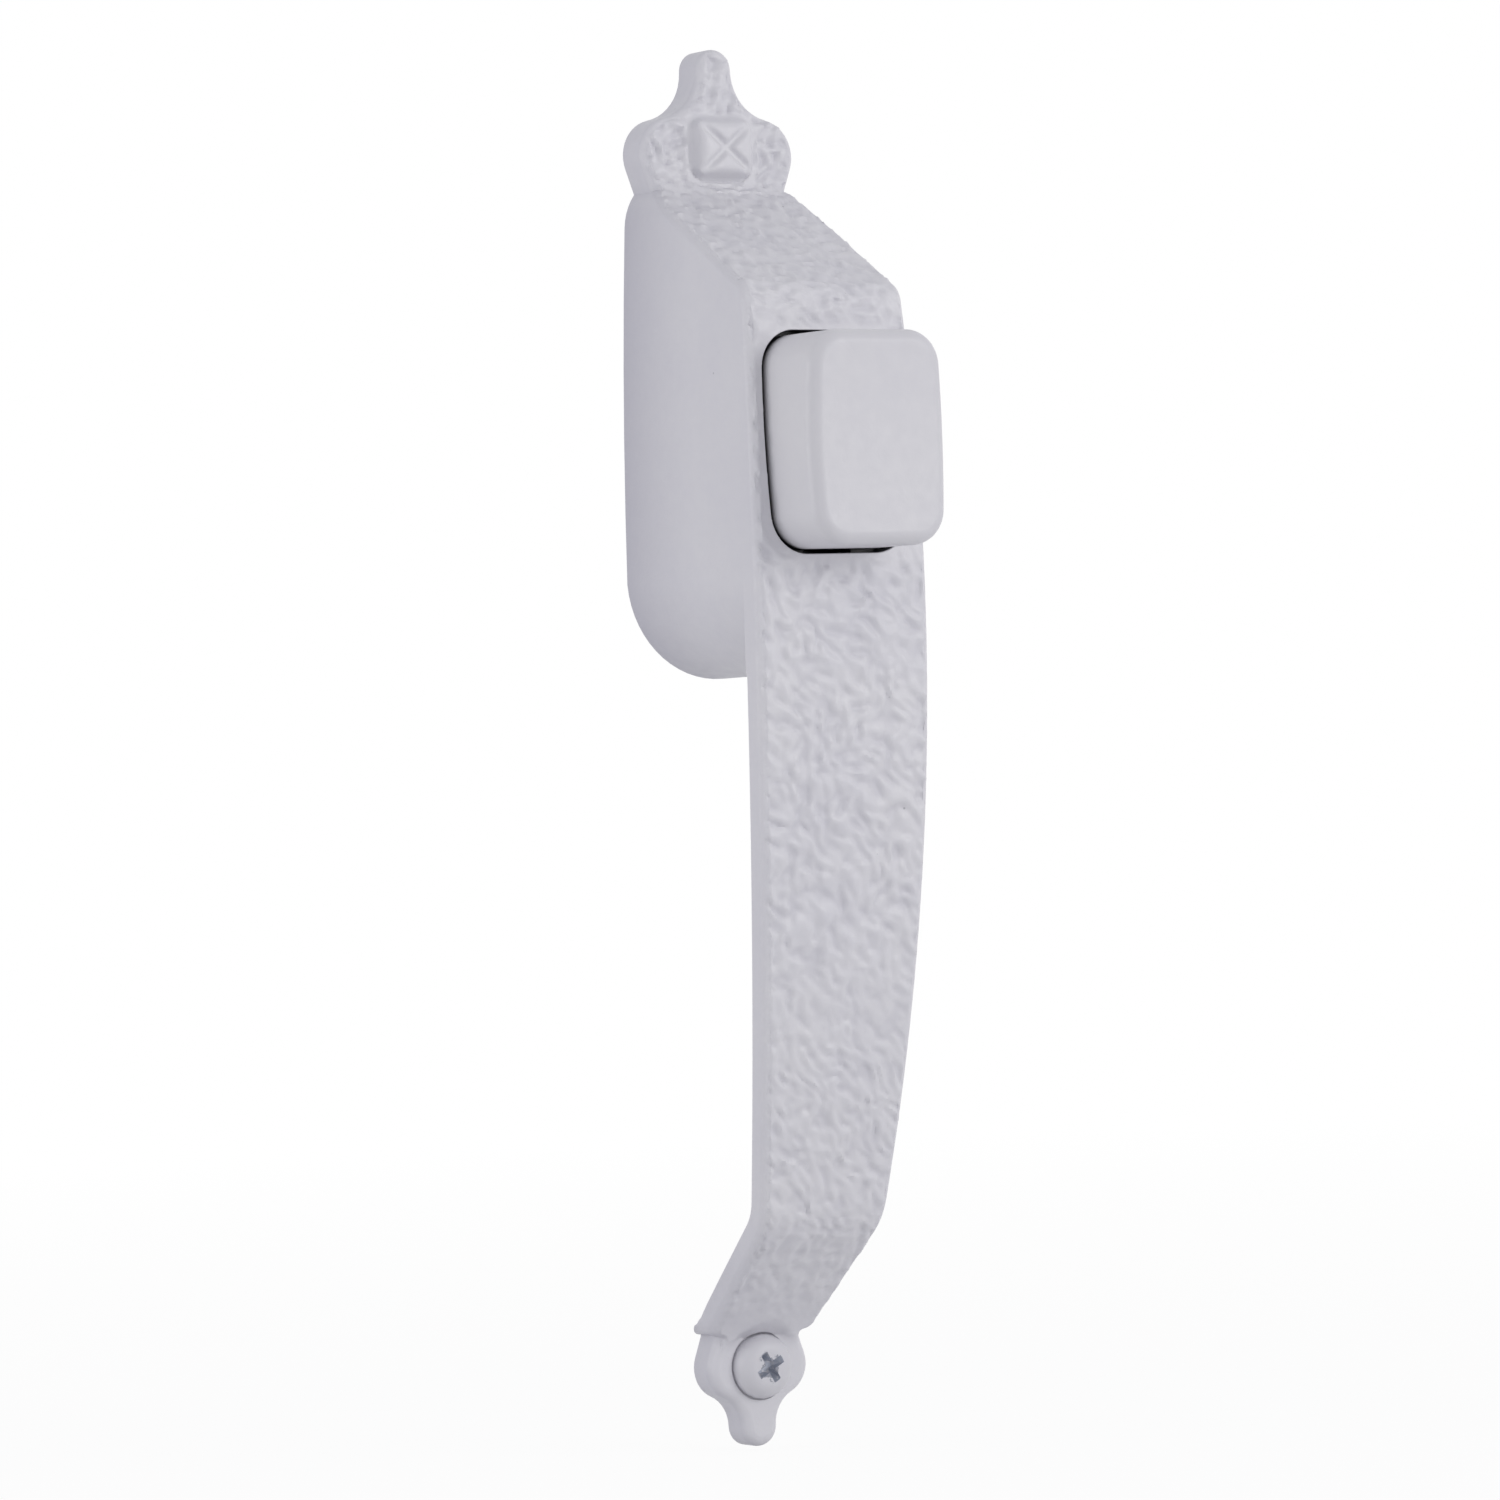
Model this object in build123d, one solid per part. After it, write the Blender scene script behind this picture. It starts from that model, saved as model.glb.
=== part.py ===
from build123d import *
import math
import os

# Outside half of a storm door latch: a cast pull handle with a push button. Millimetres.
# The door face is the plane Y = 0 and the handle stands out towards -Y, with +Z up.
# The origin is where the push rod's axis meets the door face. Depth means distance from the door face.

# Fixing to the door
screw_spacing = 44.45
mount_tap_r = 1.75
mount_tap_depth = 11.0
boss_r = 4.2
boss_pilot_r = 3.2
boss_floor = 3.35

# Push button
button_half_width = 10.45
button_half_height = 13.85
button_swell = 0.75
button_corner_r = 4.8
button_proud = 10.55
button_dish = 0.45
button_edge_r = 1.8
button_wall = 1.8
button_skirt = 3.6
button_side_gap = 0.55
button_end_gap = 0.6
button_travel = 8.0
lug_overlap = 1.9
lug_thickness = 2.4
lug_width = 3.6
lug_clearance = 0.3

# Housing and grip seen from the front
shoulder_land = 1.1
shoulder_height = 30.0
shoulder_cut = 2.1
shoulder_rise = 4.9
waist_swell = 1.6
waist_drop = 24.0
ankle_half_width = 8.45
ankle_drop = 114.75
ankle_cut = 1.9
ankle_round = 1.7
chin_overlap = 0.04
draft_deg = 0.75
wall = 1.5

# Housing and grip seen from the side
brow_land = 5.5
brow_depth = 28.75
brow_pitch_deg = 31.6
brow_r = 3.2
crown_drop = 17.0
crown_depth = 30.75
heel_drop = 101.5
heel_depth = 21.05
heel_pitch_deg = 42.6
heel_r = 9.0
strap_thickness = 3.3
strap_edge_r = 1.3

# Finial and foot plates
finial_height = 53.42
finial_thickness = 5.0
finial_tip_r = 2.7
finial_neck_r = 6.6
finial_lobe_r = 4.95
finial_half_width = 11.95
foot_drop = 131.6
foot_thickness = 4.2
foot_tip_r = 2.7
foot_neck_r = 4.5
foot_lobe_r = 4.3
foot_half_width = 7.8
flank_deg = 20.0
finial_edge_r = 1.3
foot_edge_r = 1.4

# Nail-head ornament on the finial
nail_lift = 0.8
nail_width = 9.5
nail_height = 8.3
nail_proud = 2.2
nail_taper_deg = 23.0
nail_corner_r = 1.5
nail_groove = 0.5
nail_groove_flank = 0.45
nail_groove_depth = 0.65

# Push rod, spring and guide plate
rod_r = 3.0
rod_reach = 14.0
rod_tip_chamfer = 0.8
spigot_r = 2.4
spigot_length = 7.0
spigot_end_gap = 0.3
pilot_length = 4.0
running_clearance = 0.05
seat_clearance = 0.02
spring_wire_r = 0.45
spring_wire_sides = 8
spring_gap = 0.3
spring_turns = 7.0
spring_end_gap = 0.05
spring_seat_wall = 1.2
plate_recess = 2.2
plate_thickness = 1.2
plate_edge_gap = 0.3
collar_height = 2.4
collar_wall = 1.0
boss_hole_gap = 0.2
post_offset = 8.4
post_r = 2.3
stop_gap = 0.3

# Plate screws and foot screw
plate_screw_r = 1.25
plate_screw_length = 6.0
plate_screw_point = 1.2
plate_screw_head_r = 2.2
plate_screw_head_height = 1.4
plate_screw_rim = 0.5
plate_screw_hole_gap = 0.2
screw_end_gap = 0.3
foot_screw_r = 2.08
foot_screw_length = 12.7
foot_screw_point = 4.5
foot_screw_head_r = 4.25
foot_screw_head_height = 2.9
foot_screw_rim = 0.9
foot_screw_slot = 1.1
foot_screw_slot_reach = 2.15
foot_screw_slot_depth = 1.8
foot_screw_turn_deg = 61.5
foot_screw_hole_gap = 0.25
foot_spot_depth = 0.4
foot_spot_gap = 0.3

# Sizes that follow from the ones above
opening_half_width = button_half_width + button_side_gap
opening_half_height = button_half_height + button_end_gap
shoulder_half_width = opening_half_width + shoulder_land
waist_half_width = shoulder_half_width + waist_swell
shoulder_top = shoulder_height + shoulder_rise
brow_height = opening_half_height + brow_land
chin_drop = screw_spacing / 2 + boss_r + boss_floor
overall = finial_height + foot_drop
reach = 2 * crown_depth
brow_run = math.tan(math.radians(brow_pitch_deg))
heel_run = math.tan(math.radians(heel_pitch_deg))
plate_front = plate_recess + plate_thickness
foot_seat = foot_thickness - foot_spot_depth
draft = math.tan(math.radians(draft_deg))


def circle_through(a, b, c):
    """Centre and radius of the circle through three points of a plane."""
    d = 2 * (a[0] * (b[1] - c[1]) + b[0] * (c[1] - a[1]) + c[0] * (a[1] - b[1]))
    squares = [p[0] ** 2 + p[1] ** 2 for p in (a, b, c)]
    u = (squares[0] * (b[1] - c[1]) + squares[1] * (c[1] - a[1]) + squares[2] * (a[1] - b[1])) / d
    v = (squares[0] * (c[0] - b[0]) + squares[1] * (a[0] - c[0]) + squares[2] * (b[0] - a[0])) / d
    return u, v, math.hypot(a[0] - u, a[1] - v)


# The long side of the handle seen from the front, and its bowed front seen from the side, are single arcs.
side_points = (
    (shoulder_half_width, shoulder_height),
    (waist_half_width, -waist_drop),
    (ankle_half_width, -ankle_drop),
)
bow_points = ((brow_depth, brow_height), (crown_depth, -crown_drop), (heel_depth, -heel_drop))
side_x, side_z, side_r = circle_through(*side_points)
bow_d, bow_z, bow_r = circle_through(*bow_points)


def half_width_at(z, inset=0.0):
    """Half width of the handle at the door face, at a height."""
    return side_x + math.sqrt((side_r - inset) ** 2 - (z - side_z) ** 2)


def front_depth_at(z, inset=0.0):
    """Depth of the bowed front at a height."""
    return bow_d + math.sqrt((bow_r - inset) ** 2 - (z - bow_z) ** 2)


# The chin is a full round that runs into the sides of the housing.
chin_z = -chin_drop + half_width_at(-chin_drop / 2)
chin_r = half_width_at(chin_z)

# The spring runs round the guide plate's collar and the button's pilot, which are one size.
# The button's skirt stops above the guide plate's posts at the end of its travel.
button_front = front_depth_at(0) + button_proud
spring_seat = front_depth_at(0)
skirt_end = front_depth_at(opening_half_height, strap_thickness) - button_skirt
post_end = skirt_end - button_travel - stop_gap
rod_shoulder = spring_seat - pilot_length
collar_r = rod_r + running_clearance + collar_wall
spring_r = collar_r + spring_gap + spring_wire_r


def front_plane(depth=0.0):
    """Plane parallel to the door whose normal points to the front."""
    return Plane(origin=(0, -depth, 0), x_dir=(1, 0, 0), z_dir=(0, -1, 0))


def rod_cylinder(radius, start, end):
    """Round bar on the Y axis between two depths."""
    return extrude(front_plane(start) * Circle(radius), amount=end - start)


def front_outline(depth):
    """Outline of housing and grip at a depth, drawn in by the draft and run under finial and foot."""
    inset = depth * draft
    points = [(half_width_at(z, inset), z) for z in (shoulder_height, -waist_drop, -ankle_drop)]
    side = ThreePointArc(*points)
    shoulder_end = (points[0][0] - shoulder_cut, shoulder_top)
    shoulder_lid = shoulder_top + finial_thickness
    ankle_end = (points[2][0] - ankle_cut, -ankle_drop - ankle_round)
    ankle_lid = ankle_end[1] - foot_thickness
    half = [
        Line((0, shoulder_lid), (shoulder_end[0], shoulder_lid)),
        Line((shoulder_end[0], shoulder_lid), shoulder_end),
        TangentArc(points[0], shoulder_end, tangent=-(side % 0)),
        side,
        TangentArc(points[2], ankle_end, tangent=side % 1),
        Line(ankle_end, (ankle_end[0], ankle_lid)),
        Line((ankle_end[0], ankle_lid), (0, ankle_lid)),
    ]
    return front_plane(depth) * flat_mirror(half)


def flat_mirror(half):
    """Face of a right half drawn in a sketch plane, whose ends are on the centre line, and its mirror."""
    right = Curve() + half
    return make_face(right + mirror(right, about=Plane.YZ))


def side_face(back, inset=0.0):
    """Side view of the handle from a plane at depth back out to its front, drawn in Plane.YZ."""
    top = (-back, brow_height + (brow_depth - back) * brow_run)
    bottom = (-back, -heel_drop - (heel_depth - back) * heel_run)
    brow = (-brow_depth, brow_height)
    heel = (-heel_depth, -heel_drop)
    lines = Curve() + [
        Line(top, brow),
        ThreePointArc(brow, (-crown_depth, -crown_drop), heel),
        Line(heel, bottom),
        Line(bottom, top),
    ]
    face = make_face(lines)
    corners = face.vertices()
    face = fillet(corners.sort_by_distance((brow[0], brow[1], 0))[0], brow_r)
    face = fillet(face.vertices().sort_by_distance((heel[0], heel[1], 0))[0], heel_r)
    if inset:
        face = offset(face, amount=-inset)
    return Plane.YZ * face


def behind_strap():
    """All the room behind the strap's inner face, through the door face."""
    return extrude(side_face(-2 * strap_thickness, strap_thickness), amount=reach, both=True)


def grip_blank():
    """Housing and grip as one solid block with its bowed front, sloped ends and rounded front edges."""
    block = loft([front_outline(0), front_outline(reach)], ruled=True)
    block = block & extrude(side_face(0), amount=reach, both=True)
    rim = [
        edge
        for edge in block.edges()
        if edge.center().Y < -foot_thickness / 2
        and abs(edge.center().X) > foot_tip_r
        and abs(edge.tangent_at(0.5).Z) > 0.05
    ]
    return fillet(rim, strap_edge_r)


def finger_room():
    """Room behind the grip below the rounded chin of the housing."""
    below = Pos(0, 0, chin_z - overall / 2) * Box(2 * reach, 2 * reach, overall)
    round_chin = front_plane() * Pos(0, chin_z) * Circle(chin_r + chin_overlap)
    return (below - extrude(round_chin, amount=reach, taper=draft_deg)) & behind_strap()


def ornament_face(tip, tip_r, neck_r, lobe_r, half_width, root):
    """Pointed plate outline: round tip, hollow neck, two round lobes and straight flanks to its root."""
    tip_z = tip - tip_r
    neck = (tip_r + neck_r, tip_z)
    lobe_x = half_width - lobe_r
    lobe = (lobe_x, tip_z - math.sqrt((neck_r + lobe_r) ** 2 - (neck[0] - lobe_x) ** 2))
    to_neck = (neck[0] - lobe[0], neck[1] - lobe[1])
    join_share = lobe_r / (neck_r + lobe_r)
    join = (lobe[0] + to_neck[0] * join_share, lobe[1] + to_neck[1] * join_share)
    flank = math.radians(flank_deg)
    lobe_end = (lobe[0] + lobe_r * math.cos(flank), lobe[1] - lobe_r * math.sin(flank))
    root_x = lobe_end[0] - (lobe_end[1] - root) * math.tan(flank)
    tip_mid = math.radians(45)
    half = [
        ThreePointArc(
            (0, tip), (tip_r * math.sin(tip_mid), tip_z + tip_r * math.cos(tip_mid)), (tip_r, tip_z)
        ),
        TangentArc((tip_r, tip_z), join, tangent=(0, -1)),
        ThreePointArc(join, (half_width, lobe[1]), lobe_end),
        Line(lobe_end, (root_x, root)),
        Line((root_x, root), (0, root)),
    ]
    return flat_mirror(half)


def edged_plate(face, thickness, root, edge_r):
    """Plate on the door face with its front edge rounded, apart from its root."""
    plate = extrude(face, amount=thickness)
    front = plate.faces().sort_by(Axis.Y)[0]
    rim = [edge for edge in front.edges() if abs(edge.center().Z - root) > strap_edge_r]
    return fillet(rim, edge_r)


def finial_plate():
    """Pointed plate above the housing."""
    face = ornament_face(
        finial_height, finial_tip_r, finial_neck_r, finial_lobe_r, finial_half_width, shoulder_height
    )
    return edged_plate(front_plane() * face, finial_thickness, shoulder_height, finial_edge_r)


def foot_plate():
    """Pointed plate below the grip, drawn upwards like the finial and turned over."""
    root = -ankle_drop
    face = ornament_face(foot_drop, foot_tip_r, foot_neck_r, foot_lobe_r, foot_half_width, -root)
    turned = Plane(origin=(0, 0, 0), x_dir=(-1, 0, 0), z_dir=(0, -1, 0)) * face
    return edged_plate(turned, foot_thickness, root, foot_edge_r)


def nail_head():
    """Square nail-head with a sloped-sided groove from corner to corner each way."""
    middle = Pos(0, finial_lobe_z() + nail_lift)
    face = RectangleRounded(nail_width, nail_height, nail_corner_r)
    head = extrude(front_plane(finial_thickness) * middle * face, nail_proud, taper=nail_taper_deg)
    shrink = 2 * nail_proud * math.tan(math.radians(nail_taper_deg))
    slant = math.degrees(math.atan2(nail_height - shrink, nail_width - shrink))
    crown = finial_thickness + nail_proud
    length = nail_width + nail_height
    for turn in (slant, -slant):
        floor = Rectangle(length, nail_groove)
        mouth = Rectangle(length, nail_groove + 2 * nail_groove_flank)
        sections = [
            front_plane(crown - nail_groove_depth) * middle * Rot(0, 0, turn) * floor,
            front_plane(crown) * middle * Rot(0, 0, turn) * mouth,
        ]
        head = head - loft(sections, ruled=True)
    return head


def lobe_rise(tip_r, neck_r, lobe_r, half_width):
    """Distance along an ornament plate from its tip to the middle of its lobes."""
    across = tip_r + neck_r - (half_width - lobe_r)
    return tip_r + math.sqrt((neck_r + lobe_r) ** 2 - across**2)


def finial_lobe_z():
    """Height of the middle of the finial's lobes."""
    return finial_height - lobe_rise(finial_tip_r, finial_neck_r, finial_lobe_r, finial_half_width)


def foot_lobe_z():
    """Height of the middle of the foot's lobes, where its screw goes through."""
    return lobe_rise(foot_tip_r, foot_neck_r, foot_lobe_r, foot_half_width) - foot_drop


def cavity_face(inset):
    """Hollow of the housing seen from the front, set in from the housing's outline at the door face."""
    top = (shoulder_half_width - shoulder_cut - inset, shoulder_top - inset)
    upper = (half_width_at(shoulder_height, inset), shoulder_height)
    middle_z = (shoulder_height + chin_z) / 2
    lower = (half_width_at(chin_z, inset), chin_z)
    half = [
        Line((0, top[1]), top),
        Line(top, upper),
        ThreePointArc(upper, (half_width_at(middle_z, inset), middle_z), lower),
        TangentArc(lower, (0, chin_z - lower[0]), tangent=(0, -1)),
    ]
    return flat_mirror(half)


def cavity():
    """Hollow inside the housing, open at the door face, with walls that follow the draft outside."""
    hollow = loft(
        [front_plane() * cavity_face(wall), front_plane(reach) * cavity_face(wall + reach * draft)],
        ruled=True,
    )
    return hollow & behind_strap()


def boss_heights():
    """Heights of the two bosses for the mounting screws."""
    return (screw_spacing / 2, -screw_spacing / 2)


def inner_bosses(envelope):
    """Mounting bosses and guide-plate posts, grown from the housing's walls."""
    grown = []
    for z in boss_heights():
        grown.append(Pos(0, 0, z) * rod_cylinder(boss_r, plate_front, reach))
        grown.append(Pos(0, 0, z) * rod_cylinder(boss_pilot_r, 0, plate_front))
    post = rod_cylinder(post_r, plate_front, post_end)
    web_length = waist_half_width - post_offset
    web = Pos(0, -(plate_front + post_end) / 2, 0) * Box(web_length, post_end - plate_front, post_r)
    for sign in (1, -1):
        grown.append(Pos(sign * post_offset, 0, 0) * post)
        grown.append(Pos(sign * (post_offset + web_length / 2), 0, 0) * web)
    return (Part() + grown) & envelope


def barrel_face(half_width, half_height, corner_r):
    """Upright outline with rounded corners, whose long sides swell at mid height."""
    side = ThreePointArc(
        (half_width - button_swell, half_height),
        (half_width, 0),
        (half_width - button_swell, -half_height),
    )
    half = [Line((0, half_height), side @ 0), side, Line(side @ 1, (0, -half_height))]
    face = flat_mirror(half)
    corners = [corner for corner in face.vertices() if abs(corner.X) > half_width / 2]
    return fillet(corners, corner_r)


def button_opening():
    """Opening in the front of the housing for the button."""
    opening_r = button_corner_r + (button_side_gap + button_end_gap) / 2
    window = barrel_face(opening_half_width, opening_half_height, opening_r)
    return extrude(front_plane(brow_depth - 2 * strap_thickness) * window, amount=reach)


def body_holes():
    """Tapped holes, plate screw holes and the spot-faced foot screw hole of the casting."""
    holes = [Pos(0, 0, z) * rod_cylinder(mount_tap_r, 0, mount_tap_depth) for z in boss_heights()]
    post_hole_end = plate_recess + plate_screw_length + screw_end_gap
    post_hole = rod_cylinder(plate_screw_r + seat_clearance, plate_front, post_hole_end)
    holes += [Pos(sign * post_offset, 0, 0) * post_hole for sign in (1, -1)]
    foot = Pos(0, 0, foot_lobe_z())
    holes.append(foot * rod_cylinder(foot_screw_r + foot_screw_hole_gap, 0, foot_thickness))
    holes.append(foot * rod_cylinder(foot_screw_head_r + foot_spot_gap, foot_seat, foot_seat + crown_depth))
    return holes


def handle_body():
    """Casting: finial, hollow housing, grip strap and foot in one piece."""
    block = grip_blank()
    body = block - finger_room()
    body = body + finial_plate() + nail_head() + foot_plate()
    body = body - cavity()
    body = body + inner_bosses(block)
    return body - button_opening() - body_holes()


def thumb_dish():
    """Roller whose skin hollows the button's front at mid height."""
    dish_r = (button_half_height**2 + button_dish**2) / (2 * button_dish)
    axis_depth = button_front - button_dish + dish_r
    return Pos(0, -axis_depth, 0) * Rot(0, 90, 0) * Cylinder(dish_r, 4 * button_half_width)


def push_button():
    """Hollow button with lugs behind the housing's front and a stepped boss for rod and spring."""
    ceiling = button_front - button_dish - button_wall
    outline = barrel_face(button_half_width, button_half_height, button_corner_r)
    button = extrude(front_plane(skirt_end) * outline, amount=button_front - skirt_end) - thumb_dish()
    button = fillet(button.faces().sort_by(Axis.Y)[0].edges(), button_edge_r)
    inside = barrel_face(
        button_half_width - button_wall, button_half_height - button_wall, button_corner_r - button_wall
    )
    button = button - extrude(front_plane(skirt_end) * inside, amount=ceiling - skirt_end)
    button = button + rod_cylinder(spring_r + spring_wire_r + spring_seat_wall, spring_seat, ceiling)
    button = button + rod_cylinder(collar_r, rod_shoulder, ceiling)
    button = button + [button_lug(sign_x, sign_z) for sign_x in (1, -1) for sign_z in (1, -1)]
    spigot_end = rod_shoulder + spigot_length + spigot_end_gap
    return button - rod_cylinder(spigot_r + seat_clearance, rod_shoulder, spigot_end)


def button_lug(sign_x, sign_z):
    """Lug at one corner of the button's skirt, which stops it behind the front of the housing."""
    tip_z = opening_half_height + lug_overlap
    root_z = button_half_height - button_wall / 2
    front = min(front_depth_at(sign_z * z, strap_thickness) for z in (root_z, tip_z)) - lug_clearance
    lug_x = button_half_width - button_swell - (button_corner_r + lug_width) / 2
    lug = Box(lug_width, lug_thickness, tip_z - root_z)
    return Pos(sign_x * lug_x, lug_thickness / 2 - front, sign_z * (tip_z + root_z) / 2) * lug


def push_rod():
    """Rod that the button pushes through the door, with a spigot seated in the button."""
    rod = rod_cylinder(rod_r, -rod_reach, rod_shoulder)
    rod = chamfer(rod.edges().filter_by(GeomType.CIRCLE).sort_by(Axis.Y)[-1], rod_tip_chamfer)
    return rod + rod_cylinder(spigot_r, rod_shoulder, rod_shoulder + spigot_length)


def return_spring():
    """Coil spring between the guide plate and the button."""
    start = plate_front + spring_wire_r + spring_end_gap
    end = spring_seat - spring_wire_r - spring_end_gap
    pitch = (end - start) / spring_turns
    coil = Helix(pitch, end - start, spring_r, center=(0, -start, 0), direction=(0, -1, 0))
    section = Plane(origin=coil @ 0, z_dir=coil % 0) * RegularPolygon(spring_wire_r, spring_wire_sides)
    return sweep(section, path=coil, is_frenet=True)


def guide_plate():
    """Stamped plate across the back of the housing with a drawn collar that guides the rod."""
    edge = wall + plate_edge_gap + plate_front * draft
    plate = extrude(front_plane(plate_recess) * cavity_face(edge), amount=plate_thickness)
    under_brow = side_face(-2 * strap_thickness, strap_thickness + plate_edge_gap)
    plate = plate & extrude(under_brow, amount=reach, both=True)
    plate = plate + rod_cylinder(collar_r, plate_recess, plate_front + collar_height)
    holes = [rod_cylinder(rod_r + running_clearance, 0, reach)]
    boss_hole = rod_cylinder(boss_pilot_r + boss_hole_gap, 0, plate_front)
    holes += [Pos(0, 0, z) * boss_hole for z in boss_heights()]
    screw_hole = rod_cylinder(plate_screw_r + plate_screw_hole_gap, 0, plate_front)
    holes += [Pos(sign * post_offset, 0, 0) * screw_hole for sign in (1, -1)]
    return plate - holes


def pan_screw(shank_r, length, point, head_r, head_height, rim):
    """Pan-head screw on the Y axis: its head stands to the front of depth 0 and its point is behind."""
    crown_r = head_r / 2
    half = Curve() + [
        Line((0, head_height), (crown_r, head_height)),
        TangentArc((crown_r, head_height), (head_r, rim), tangent=(1, 0)),
        Line((head_r, rim), (head_r, 0)),
        Line((head_r, 0), (shank_r, 0)),
        Line((shank_r, 0), (shank_r, point - length)),
        Line((shank_r, point - length), (0, -length)),
        Line((0, -length), (0, head_height)),
    ]
    upright = Plane(origin=(0, 0, 0), x_dir=(1, 0, 0), z_dir=(0, 0, -1))
    return revolve(upright * make_face(half), axis=Axis.Y)


def drive_recess(head_height, slot, slot_reach, slot_depth, turns):
    """Slots of a screw's drive, whose ends taper in towards the bottom."""
    mouth = front_plane(head_height - slot_depth)
    taper = mouth * Cone(slot, slot_reach, slot_depth, align=(Align.CENTER, Align.CENTER, Align.MIN))
    bar = mouth * Box(2 * slot_reach, slot, slot_depth, align=(Align.CENTER, Align.CENTER, Align.MIN))
    return [bar.rotate(Axis.Y, turn) & taper for turn in turns]


def foot_screw():
    """Painted pan-head screw with a cross recess, seated in the foot's spot face."""
    screw = pan_screw(
        foot_screw_r,
        foot_screw_length,
        foot_screw_point,
        foot_screw_head_r,
        foot_screw_head_height,
        foot_screw_rim,
    )
    turns = (foot_screw_turn_deg, foot_screw_turn_deg + 90)
    screw = screw - drive_recess(
        foot_screw_head_height, foot_screw_slot, foot_screw_slot_reach, foot_screw_slot_depth, turns
    )
    return Pos(0, -foot_seat, foot_lobe_z()) * screw


def plate_screws():
    """Two small screws driven from the back through the guide plate into its posts."""
    screw = pan_screw(
        plate_screw_r,
        plate_screw_length,
        plate_screw_point,
        plate_screw_head_r,
        plate_screw_head_height,
        plate_screw_rim,
    )
    turned = screw.rotate(Axis.Z, 180)
    return Part() + [Pos(sign * post_offset, -plate_recess, 0) * turned for sign in (1, -1)]


os.makedirs("parts", exist_ok=True)
for piece in (handle_body, push_button, push_rod, return_spring, guide_plate, plate_screws, foot_screw):
    export_step(piece(), f"parts/{piece.__name__}.step")
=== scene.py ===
import logging
import math
from collections.abc import Iterable
from dataclasses import dataclass, field
from enum import Enum

import bmesh
import bpy
import numpy as np
from bmesh.types import BMesh, BMFace, BMVert
from bpy.types import Material, Node, NodeSocket, NodeTree, Object
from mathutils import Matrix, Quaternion, Vector, noise
from mathutils.bvhtree import BVHTree


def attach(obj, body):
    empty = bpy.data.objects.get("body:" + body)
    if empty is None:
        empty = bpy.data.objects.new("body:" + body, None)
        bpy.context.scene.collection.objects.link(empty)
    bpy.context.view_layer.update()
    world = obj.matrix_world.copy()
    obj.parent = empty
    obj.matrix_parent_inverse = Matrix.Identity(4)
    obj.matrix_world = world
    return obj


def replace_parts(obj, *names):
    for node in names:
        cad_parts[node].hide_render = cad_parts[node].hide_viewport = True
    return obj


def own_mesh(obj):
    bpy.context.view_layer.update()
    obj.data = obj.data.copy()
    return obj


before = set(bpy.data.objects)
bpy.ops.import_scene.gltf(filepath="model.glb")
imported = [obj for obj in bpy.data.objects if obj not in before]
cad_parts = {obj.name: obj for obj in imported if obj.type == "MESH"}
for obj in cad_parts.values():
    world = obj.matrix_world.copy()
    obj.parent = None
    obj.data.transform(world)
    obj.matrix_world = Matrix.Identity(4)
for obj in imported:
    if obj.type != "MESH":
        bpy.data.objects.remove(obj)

LOG = logging.getLogger("pull_handle")
Colour = tuple[float, float, float]
Span = tuple[float, float]

# Lengths are in millimetres, and MM turns them into the frame's metres.
MM = 0.001
FOOT_SCREW_HEIGHT = -120.92
SEAM_GAP = 0.001
CUT_SLACK = 0.0001
FLAT_DEG = 0.4
CREASE_DEG = 35.0

PIT_TONE = (0.16, 0.16, 0.18, 1.0)
PAINT_ROUGHNESS = 0.44
WHITE = (1.0, 1.0, 1.0, 1.0)
SKIN_OUTPUTS = {"Color": "NodeSocketColor", "Roughness": "NodeSocketFloat", "Height": "NodeSocketFloat"}


class Body(Enum):
    """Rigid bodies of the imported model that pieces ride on."""

    HANDLE = "handle"
    BUTTON = "button"


class Slot(Enum):
    """Material slots of the record."""

    HAMMERED_WHITE = "hammered_white"
    SMOOTH_WHITE = "smooth_white"
    SCREW_WHITE = "screw_white"
    BRIGHT_ZINC = "bright_zinc"
    DULL_ZINC = "yellow_zinc"
    SPRING_STEEL = "spring_steel"


class NoiseLayer(Enum):
    """Planes of the noise field, far enough apart to be unlike."""

    BROAD = 1.7
    PEBBLE = 2.9
    PATCH = 3.3
    SWAY = 4.1
    SECOND = 6.4
    SWEEP = 9.3

    def at(self, x: float, y: float) -> float:
        """Smooth noise at a place of the plane."""
        return noise.noise(Vector((x, y, self.value)))


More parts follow.
